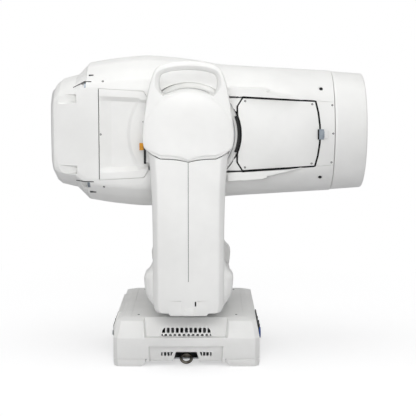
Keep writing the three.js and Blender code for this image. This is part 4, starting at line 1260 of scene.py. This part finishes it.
def base_cover():
    X0, X1, Y = -174, 163, 208
    ob = loft("base", [plan8(X0, X1, Y, 10, -2), plan8(X0, X1, Y, 10, 54), plan8(X0 + 8, X1 - 8, Y - 18, 10, 91), plan8(X0 + 24, X1 - 24, Y - 38, 12, 97)])
    boolean(ob, [pod(-1, 180, 177)], "UNION")
    inn = loft("in", [plan8(X0 + 3, X1 - 3, Y - 3, 9, -6), plan8(X0 + 3, X1 - 3, Y - 3, 9, 53), plan8(X0 + 11, X1 - 11, Y - 21, 9, 88.5), plan8(X0 + 27, X1 - 27, Y - 41, 11, 94)])
    boolean(inn, [pod(-1, 180, 177, 3.0)], "UNION")
    cuts, keep = [], []
    for s in (-1, 1):
        cuts.append(hull("c", [(-104, s * 215, 55), (92, s * 215, 55), (-98, s * 191, 55.1), (84, s * 191, 55.1), (-108, s * 215, 110), (96, s * 215, 110), (-102, s * 176, 93), (88, s * 176, 93), (-104, s * 168, 110), (90, s * 168, 110)]))
        cuts.append(hull("c", [(-92, s * 215, -10), (78, s * 215, -10), (-88, s * 198, -10), (74, s * 198, -10), (-96, s * 215, 37), (82, s * 215, 37), (-90, s * 200.5, 33), (76, s * 200.5, 33)]))
        keep.append(hull("c", [(-108, s * 215, 52), (96, s * 215, 52), (-102, s * 187.5, 52.1), (88, s * 187.5, 52.1), (-112, s * 215, 112), (100, s * 215, 112), (-106, s * 172, 92), (92, s * 172, 92), (-108, s * 164, 112), (94, s * 164, 112)]))
        keep.append(hull("c", [(-96, s * 215, -12), (82, s * 215, -12), (-96, s * 193.5, -12), (82, s * 193.5, -12), (-100, s * 215, 40), (86, s * 215, 40), (-96, s * 196.5, 37.5), (82, s * 196.5, 37.5)]))
    boolean(ob, cuts)
    boolean(inn, keep)
    boolean(ob, [inn])
    cuts = [lathe("c", [(60, 0), (60, 64), (110, 64), (110, 0)], "z", (0, 0, 0), 72)]
    for s in (-1, 1):
        cuts.append(prism("c", [(-38, -8), (26, -8), (18, 20), (-30, 20)], "y", *sorted((s * 188, s * 206))))
        for a, b in ((-200, -97), (83, 200)):
            cuts.append(box("c", a, b, *sorted((s * 140, s * 215)), -10, 6))
    cuts += [box("c", -200, -168, -141, 141, -10, -0.5), box("c", 157, 200, -141, 141, -10, -0.5)]
    boolean(ob, cuts)
    tidy(ob, 0.3)
    # edges are rounded before the small openings are cut
    m = ob.modifiers.new("edge", "BEVEL")
    m.width, m.segments, m.limit_method, m.angle_limit, m.use_clamp_overlap = 0.0016, 3, "ANGLE", math.radians(14), True
    bake(ob)
    cuts = []
    for s in (-1, 1):
        ys = sorted((s * 160, s * 210))
        # air grille: a row of tall slots over a row of short ones, and four vents each side of the arch
        for i in range(11):
            x = -58.5 + i * 10.5
            if i in (0, 10):
                k = 1 if i == 0 else -1
                pts = [(x - k * 3.6, 62.0), (x + k * 3.6, 62.0), (x + k * 3.6, 73.4), (x + k * 1.2, 73.4), (x - k * 3.6, 66.5)]
                cuts.append(prism("c", bezier_corners(pts, 1.0, 2), "y", *ys))
            else:
                cuts.append(prism("c", rounded_rect(x, 67.7, 7.0, 11.4, 2.6, 4), "y", *ys))
        for i in range(12):
            x = -63.8 + i * 10.5
            if i in (0, 11):
                cuts.append(prism("c", rounded_rect(x + (2.0 if i == 0 else -2.0), 57.6, 3.0, 4.8, 1.0, 3), "y", *ys))
            else:
                pts = [(x - 3.4, 55.4)] + [(x + 3.4 * math.cos(a), 57.0 + 3.2 * math.sin(a)) for a in [PI - PI * j / 8 for j in range(9)]] + [(x + 3.4, 55.4)]
                cuts.append(prism("c", pts, "y", *ys))
        for k in (-1, 1):
            for i in range(4):
                x = -6 + k * (56.4 - i * 7.6)
                w = 3.4 if i == 0 else 5.4
                if i == 3:
                    a, b = (x - 2.7, x + 2.7)
                    pts = [(a, 10.6), (a + 2.0, 10.6), (b, 20.0), (a, 20.0)] if k < 0 else [(b - 2.0, 10.6), (b, 10.6), (b, 20.0), (a, 20.0)]
                    cuts.append(prism("c", bezier_corners(pts, 0.6, 2), "y", *sorted((s * 186, s * 206))))
                else:
                    cuts.append(prism("c", rounded_rect(x, 15.3, w, 9.4, 0.9, 3), "y", *sorted((s * 186, s * 206))))
    boolean(ob, cuts)
    # the two lines across the top of the cover
    cuts = []
    for x in (-134.5, 126):
        cuts.append(prism("c", [(x - 0.4, 98), (x + 0.4, 98), (x + 0.25, 95.8), (x - 0.25, 95.8)], "y", -169.5, 169.5))
    boolean(ob, cuts)
    tidy(ob, 0.05)
    return crisp(ob, 22)


bc = base_cover()
bc.name = "base_skin"
give(bc, WHITE, "base", ("base_cover",))

# corner feet: skirt and floor pad, with the parting line of the cover above them
for fname, sx, sy in (("foot_front_right", 1, -1), ("foot_front_left", 1, 1), ("foot_rear_right", -1, -1), ("foot_rear_left", -1, 1)):
    xo, xi = (163, 86) if sx > 0 else (-174, -100)
    c = sx * 10
    out = [(xi, sy * 207.6), (xo - c, sy * 207.6), (xo, sy * 197.6), (xo, sy * 142), (xi, sy * 142)]
    low = [(xi + sx * 9, sy * 206), (xo - c - sx, sy * 206), (xo - sx * 2, sy * 196.6), (xo - sx * 2, sy * 142), (xi + sx * 9, sy * 142)]
    ob = loft("foot", [[(x, y, -12) for x, y in low], [(x, y, -4) for x, y in out], [(x, y, 5.4) for x, y in out]])
    xl = xo - sx * 3.2
    boolean(ob, [prism("c", [(xl, sy * 100), (xl, sy * 196), (xl - c * 0.96, sy * 204.4), (xi - sx * 20, sy * 204.4), (xi - sx * 20, sy * 100)], "z", -0.4, 20)])
    # treads moulded in the pad
    tread = [box("c", *sorted((xi + sx * (16 + i * 9), xi + sx * (19 + i * 9))), *sorted((sy * 150, sy * 198)), -13, -10.6) for i in range(5)]
    boolean(ob, tread)
    tidy(ob, 0.3)
    soften(ob, 1.0, 2, 24)
    ob.name = fname + "_skin"
    give(ob, WHITE, "base", (fname,))

# display side: bezel, screen, wheel and button
bez = edged("bezel", rounded_rect(0, 33, 156, 46, 4, 4), "x", -180.3, -183.5, 0.9, 3)
cut = [prism("c", rounded_rect(-1, 33, 84, 30, 2, 3), "x", -185, -182.3), lathe("c", [(-192, 0), (-192, 9), (-172, 9), (-172, 0)], "x", (0, 58, 33), 40), lathe("c", [(-192, 0), (-192, 6.5), (-172, 6.5), (-172, 0)], "x", (0, -60, 33), 32)]
boolean(bez, cut)
give(crisp(tidy(bez, 0.05), 30), BLACK, "base", ("display_panel",))
bez.name = "display_bezel"
scr_ob = edged("display_screen", rounded_rect(-1, 33, 83.4, 29.4, 1.7, 3), "x", -181.9, -182.75, 0.25, 2)
give(crisp(scr_ob, 30), SCREEN, "base", ())
wh = []
seg = 48
prof = [(-180.7, 7.4), (-181.4, 8.2), (-188.2, 8.4), (-189.4, 7.8), (-190, 6.2), (-190, 5.0), (-189.3, 4.4), (-189.3, 0.0)]
wheel = lathe("menu_dial", [(-180.7, 0)] + prof, "x", (0, 58, 33), seg)
for v in wheel.data.vertices:
    y, z = v.co.y / MM - 58, v.co.z / MM - 33
    r = math.hypot(y, z)
    if r > 7.9:
        k = 1 - 0.035 * (1 - math.cos(24 * math.atan2(z, y))) / 2
        v.co.y, v.co.z = (58 + y * k) * MM, (33 + z * k) * MM
give(crisp(wheel, 30), BLACK, "menu_wheel", ("menu_wheel",))
btn = lathe("enter_cap", [(-182.3, 0), (-182.3, 3.9), (-183.8, 4.0), (-183.9, 5.7), (-186.2, 6.0), (-186.8, 5.5), (-187, 4.6), (-186.6, 2.4), (-186.45, 0)], "x", (0, -60, 33), 40)
give(crisp(btn, 30), ALU, "enter_button", ("enter_button",))

# connector side
cp = edged("connector_plate", rounded_rect(0, 33, 180, 50, 4, 4), "x", 163.3, 166, 0.8, 3)
cut = [lathe("c", [(159, 0), (159, r), (179, r), (179, 0)], "x", (0, y, 34), 48) for r, y in ((13.3, -64), (12.3, -22), (12.3, 18))] + [box("c", 159, 179, 52.7, 73.3, 22.7, 45.3)]
boolean(cp, cut)
give(crisp(tidy(cp, 0.05), 30), BLACK, "base", ("connector_panel",))
for name, r, ri, y, mat, sl in (("power_inlet", 13, 10, -64, BLUE, "blue_plastic"), ("data_in", 12, 9.2, -22, BLACK, "black_plastic"), ("data_out", 12, 9.2, 18, BLACK, "black_plastic")):
    body = lathe(name + "_shell", [(163.35, 0), (163.35, r - 0.3), (163.7, r), (170.2, r), (170.8, r - 0.3), (171, r - 0.9), (171, ri + 0.7), (170.6, ri + 0.1), (170, ri), (164.8, ri), (164.8, 0)], "x", (0, y, 34), 56)
    cut = [box("c", 165.6, 172, y - 1.6, y + 1.6, 34 + ri - 1.0, 34 + ri + 1.4)]
    boolean(body, cut)
    give(crisp(tidy(body, 0.05), 30), mat, "base", (name,))
    pins = []
    n = 3 if name == "power_inlet" else 5
    for i in range(n):
        a = PI / 2 + 2 * PI * i / n + (0.35 if n == 5 else PI)
        rr = 5.2
        pins.append(lathe("pin", [(164.4, 0), (164.4, 1.0 if n == 5 else 1.5), (168.6, 1.0 if n == 5 else 1.5), (169.1, 0.6), (169.2, 0)], "x", (0, y + rr * math.cos(a), 34 + rr * math.sin(a)), 16))
    give(crisp(join(name + "_pins", pins), 30), ALU, "base", ())
rk = hull("rocker", [p for y in (53.3, 72.7) for p in [(164.3, y, 30.2), (164.3, y, 37.8), (166.2, y, 23.5), (166.2, y, 44.5), (167.9, y, 23.9), (169.8, y, 44.1), (167.5, y, 34)]])
give(soften(rk, 0.5, 2, 20), BLACK, "power_switch", ("power_switch",))
rk.name = "rocker_cap"
pscr = [screw((165.9, y, z), (1, 0, 0), 2.3, 0.8) for y in (-86, 86) for z in (13, 53)] + [screw((165.9, y + dy, 34 + dz), (1, 0, 0), 1.6, 0.5) for y in (-64, -22, 18) for dy, dz in ((-13.2, 13.2), (13.2, -13.2))]
dscr = [screw((-202.4, y, z), (-1, 0, 0), 2.0, 0.1) for y in ()]
give(crisp(join("connector_screws", pscr)), SCREWM, "base", ())

# safety cable ring: round bar bent to a ring, on its saddle
def torus(name, R, r, at, rx, seg=72, ts=20):
    rows = []
    c, s = math.cos(rx), math.sin(rx)
    for i in range(seg):
        t = 2 * PI * i / seg
        row = []
        for j in range(ts):
            q = 2 * PI * j / ts
            x, y, z = (R + r * math.cos(q)) * math.cos(t), (R + r * math.cos(q)) * math.sin(t), r * math.sin(q)
            row.append((x + at[0], y * c - z * s + at[1], y * s + z * c + at[2]))
        rows.append(row)
    verts = [p for r_ in rows for p in r_]
    faces = [[i * ts + j, ((i + 1) % seg) * ts + j, ((i + 1) % seg) * ts + (j + 1) % ts, i * ts + (j + 1) % ts] for i in range(seg) for j in range(ts)]
    return mesh(name, verts, faces)


ringo = torus("safety_ring", 12, 3.4, (-6, -194.5, 4), 0.67)
saddle = edged("saddle", rounded_rect(-6, 8.2, 14, 9.8, 1.5, 3), "y", -170, -187, 0.8, 2)
both_ring = join("safety_ring_and_saddle", [ringo, saddle])
give(crisp(both_ring, 40), BRASSY, "base", ("safety_eye",))

# screws in the top of the base
sc = [screw((x, y, 97 - (0.0)), (0, 0, 1), 2.6, 0.5) for x, y in ((-118, -150), (110, -150), (-118, 150), (110, 150))]
give(crisp(join("base_screws", sc)), SCREWM, "base", ())

# ================================================================ CAD pieces that stay, with their own finishes
FINISH = {"base_chassis": ALU, "pan_bearing": STEEL, "pan_motor": PAINTED, "pan_drive_pulley": ALU, "pan_belt": RUBBER, "power_supply": ALU,
          "yoke_frame": ALU, "pan_driven_pulley": ALU, "tilt_bearing_right": STEEL, "tilt_bearing_left": STEEL, "tilt_motor": PAINTED, "tilt_drive_pulley": ALU, "tilt_belt": RUBBER,
          "head_chassis": ALU, "tilt_driven_pulley": ALU, "light_engine": PAINTED, "heatsink": ALU, "cooling_fan": BLACK, "colour_wheel": STEEL, "gobo_wheel": STEEL,
          "iris_ring": BLACK, "focus_carriage": BLACK, "zoom_carriage": BLACK}
for n, ob in NODES.items():
    mat = FINISH.get(n)
    if mat is None:
        mat = WHITE
    ob.data.materials.clear()
    ob.data.materials.append(mat)
    if not ob.hide_render:
        m = ob.modifiers.new("edge", "BEVEL")
        m.width, m.segments, m.limit_method, m.angle_limit = 0.0004, 2, "ANGLE", math.radians(40)
        m.use_clamp_overlap = True

# ================================================================ STAGE
def paper(name):
    """Seamless white paper: it fades into the backdrop far out, and bounces less light than it shows."""
    m = bpy.data.materials.new(name)
    m.use_nodes = True
    t = m.node_tree
    N, L = t.nodes, t.links
    N.clear()
    out = N.new("ShaderNodeOutputMaterial")
    geo = N.new("ShaderNodeNewGeometry")
    ln = N.new("ShaderNodeVectorMath")
    ln.operation = "LENGTH"
    L.new(geo.outputs["Position"], ln.inputs[0])
    mr = N.new("ShaderNodeMapRange")
    mr.interpolation_type = "SMOOTHSTEP"
    mr.inputs["From Min"].default_value, mr.inputs["From Max"].default_value = 0.35, 1.25
    L.new(ln.outputs["Value"], mr.inputs[0])
    bounce = N.new("ShaderNodeBsdfDiffuse")
    bounce.inputs[0].default_value = (0.62, 0.62, 0.63, 1)
    shown = N.new("ShaderNodeBsdfDiffuse")
    shown.inputs[0].default_value = (0.55, 0.55, 0.553, 1)
    lift = N.new("ShaderNodeEmission")
    lift.inputs[0].default_value = (1, 1, 1, 1)
    lift.inputs[1].default_value = 0.56
    add = N.new("ShaderNodeAddShader")
    L.new(shown.outputs[0], add.inputs[0])
    L.new(lift.outputs[0], add.inputs[1])
    far = N.new("ShaderNodeEmission")
    far.inputs[0].default_value = (1, 1, 1, 1)
    far.inputs[1].default_value = 1.0
    mix = N.new("ShaderNodeMixShader")
    L.new(mr.outputs[0], mix.inputs[0])
    L.new(add.outputs[0], mix.inputs[1])
    L.new(far.outputs[0], mix.inputs[2])
    lp = N.new("ShaderNodeLightPath")
    pick = N.new("ShaderNodeMixShader")
    L.new(lp.outputs["Is Camera Ray"], pick.inputs[0])
    L.new(bounce.outputs[0], pick.inputs[1])
    L.new(mix.outputs[0], pick.inputs[2])
    L.new(pick.outputs[0], out.inputs[0])
    return m


floor_v = [(0, 0, -12.05)]
floor_f = []
nf = 96
for r in (400, 900, 1800, 4000, 12000, 40000):
    floor_v += [(r * math.cos(2 * PI * i / nf), r * math.sin(2 * PI * i / nf), -12.05) for i in range(nf)]
for i in range(nf):
    floor_f.append([0, 1 + i, 1 + (i + 1) % nf])
for k in range(5):
    for i in range(nf):
        a, b = 1 + k * nf + i, 1 + k * nf + (i + 1) % nf
        floor_f.append([a, a + nf, b + nf, b])
floor = mesh("floor", floor_v, floor_f, weld=False)
for p in floor.data.polygons:
    if p.normal.z < 0:
        p.flip()
floor.data.materials.append(paper("floor_paper"))

world = bpy.data.worlds.new("studio")
scene.world = world
world.use_nodes = True
wt = world.node_tree
bg = wt.nodes["Background"]
tc = wt.nodes.new("ShaderNodeTexCoord")
sep = wt.nodes.new("ShaderNodeSeparateXYZ")
rp = wt.nodes.new("ShaderNodeValToRGB")
wt.links.new(tc.outputs["Generated"], sep.inputs[0])
wt.links.new(sep.outputs["Z"], rp.inputs[0])
rp.color_ramp.elements[0].position, rp.color_ramp.elements[0].color = 0.0, (0.47, 0.47, 0.475, 1)
rp.color_ramp.elements[1].position, rp.color_ramp.elements[1].color = 0.9, (0.72, 0.72, 0.72, 1)
wt.links.new(rp.outputs[0], bg.inputs[0])
bg.inputs[1].default_value = 1.0
seen = wt.nodes.new("ShaderNodeBackground")
seen.inputs[0].default_value = (1, 1, 1, 1)
wlp = wt.nodes.new("ShaderNodeLightPath")
wmx = wt.nodes.new("ShaderNodeMixShader")
wt.links.new(wlp.outputs["Is Camera Ray"], wmx.inputs[0])
wt.links.new(bg.outputs[0], wmx.inputs[1])
wt.links.new(seen.outputs[0], wmx.inputs[2])
wt.links.new(wmx.outputs[0], wt.nodes["World Output"].inputs[0])


def area(name, at, target, size, power, color=(1, 1, 1), spread=180):
    l = bpy.data.lights.new(name, "AREA")
    l.shape, l.size, l.energy, l.color = "DISK", size, power, color
    l.spread = math.radians(spread)
    o = bpy.data.objects.new(name, l)
    scene.collection.objects.link(o)
    o.location = at
    o.rotation_mode = "QUATERNION"
    o.rotation_quaternion = (Vector(target) - Vector(at)).to_track_quat("-Z", "Y")
    return o


area("key", (0.0, -1.6, 1.05), (0, 0, 0.64), 0.7, 1.55, spread=75)
area("top", (0.0, -0.3, 2.4), (0, 0, 0.4), 1.3, 8.5)
area("bounce", (0.0, -1.3, 0.02), (0, -0.1, 0.2), 0.9, 2.8)

scene.view_settings.view_transform = "Standard"
scene.view_settings.look = "None"
scene.view_settings.exposure = 0.0
scene.view_settings.gamma = 1.0

cam = bpy.data.cameras.new("camera")
cam_ob = bpy.data.objects.new("camera", cam)
scene.collection.objects.link(cam_ob)
cam.sensor_width = 36.0
cam.lens = 36.0 * 1170.0 / 416.0
cam_ob.location = (0.044, -2.830, 0.694)
cam_ob.rotation_euler = (PI / 2 - math.atan(151 / 1170), 0, 0)
cam.dof.use_dof = False
cam.clip_start, cam.clip_end = 0.05, 200
scene.camera = cam_ob
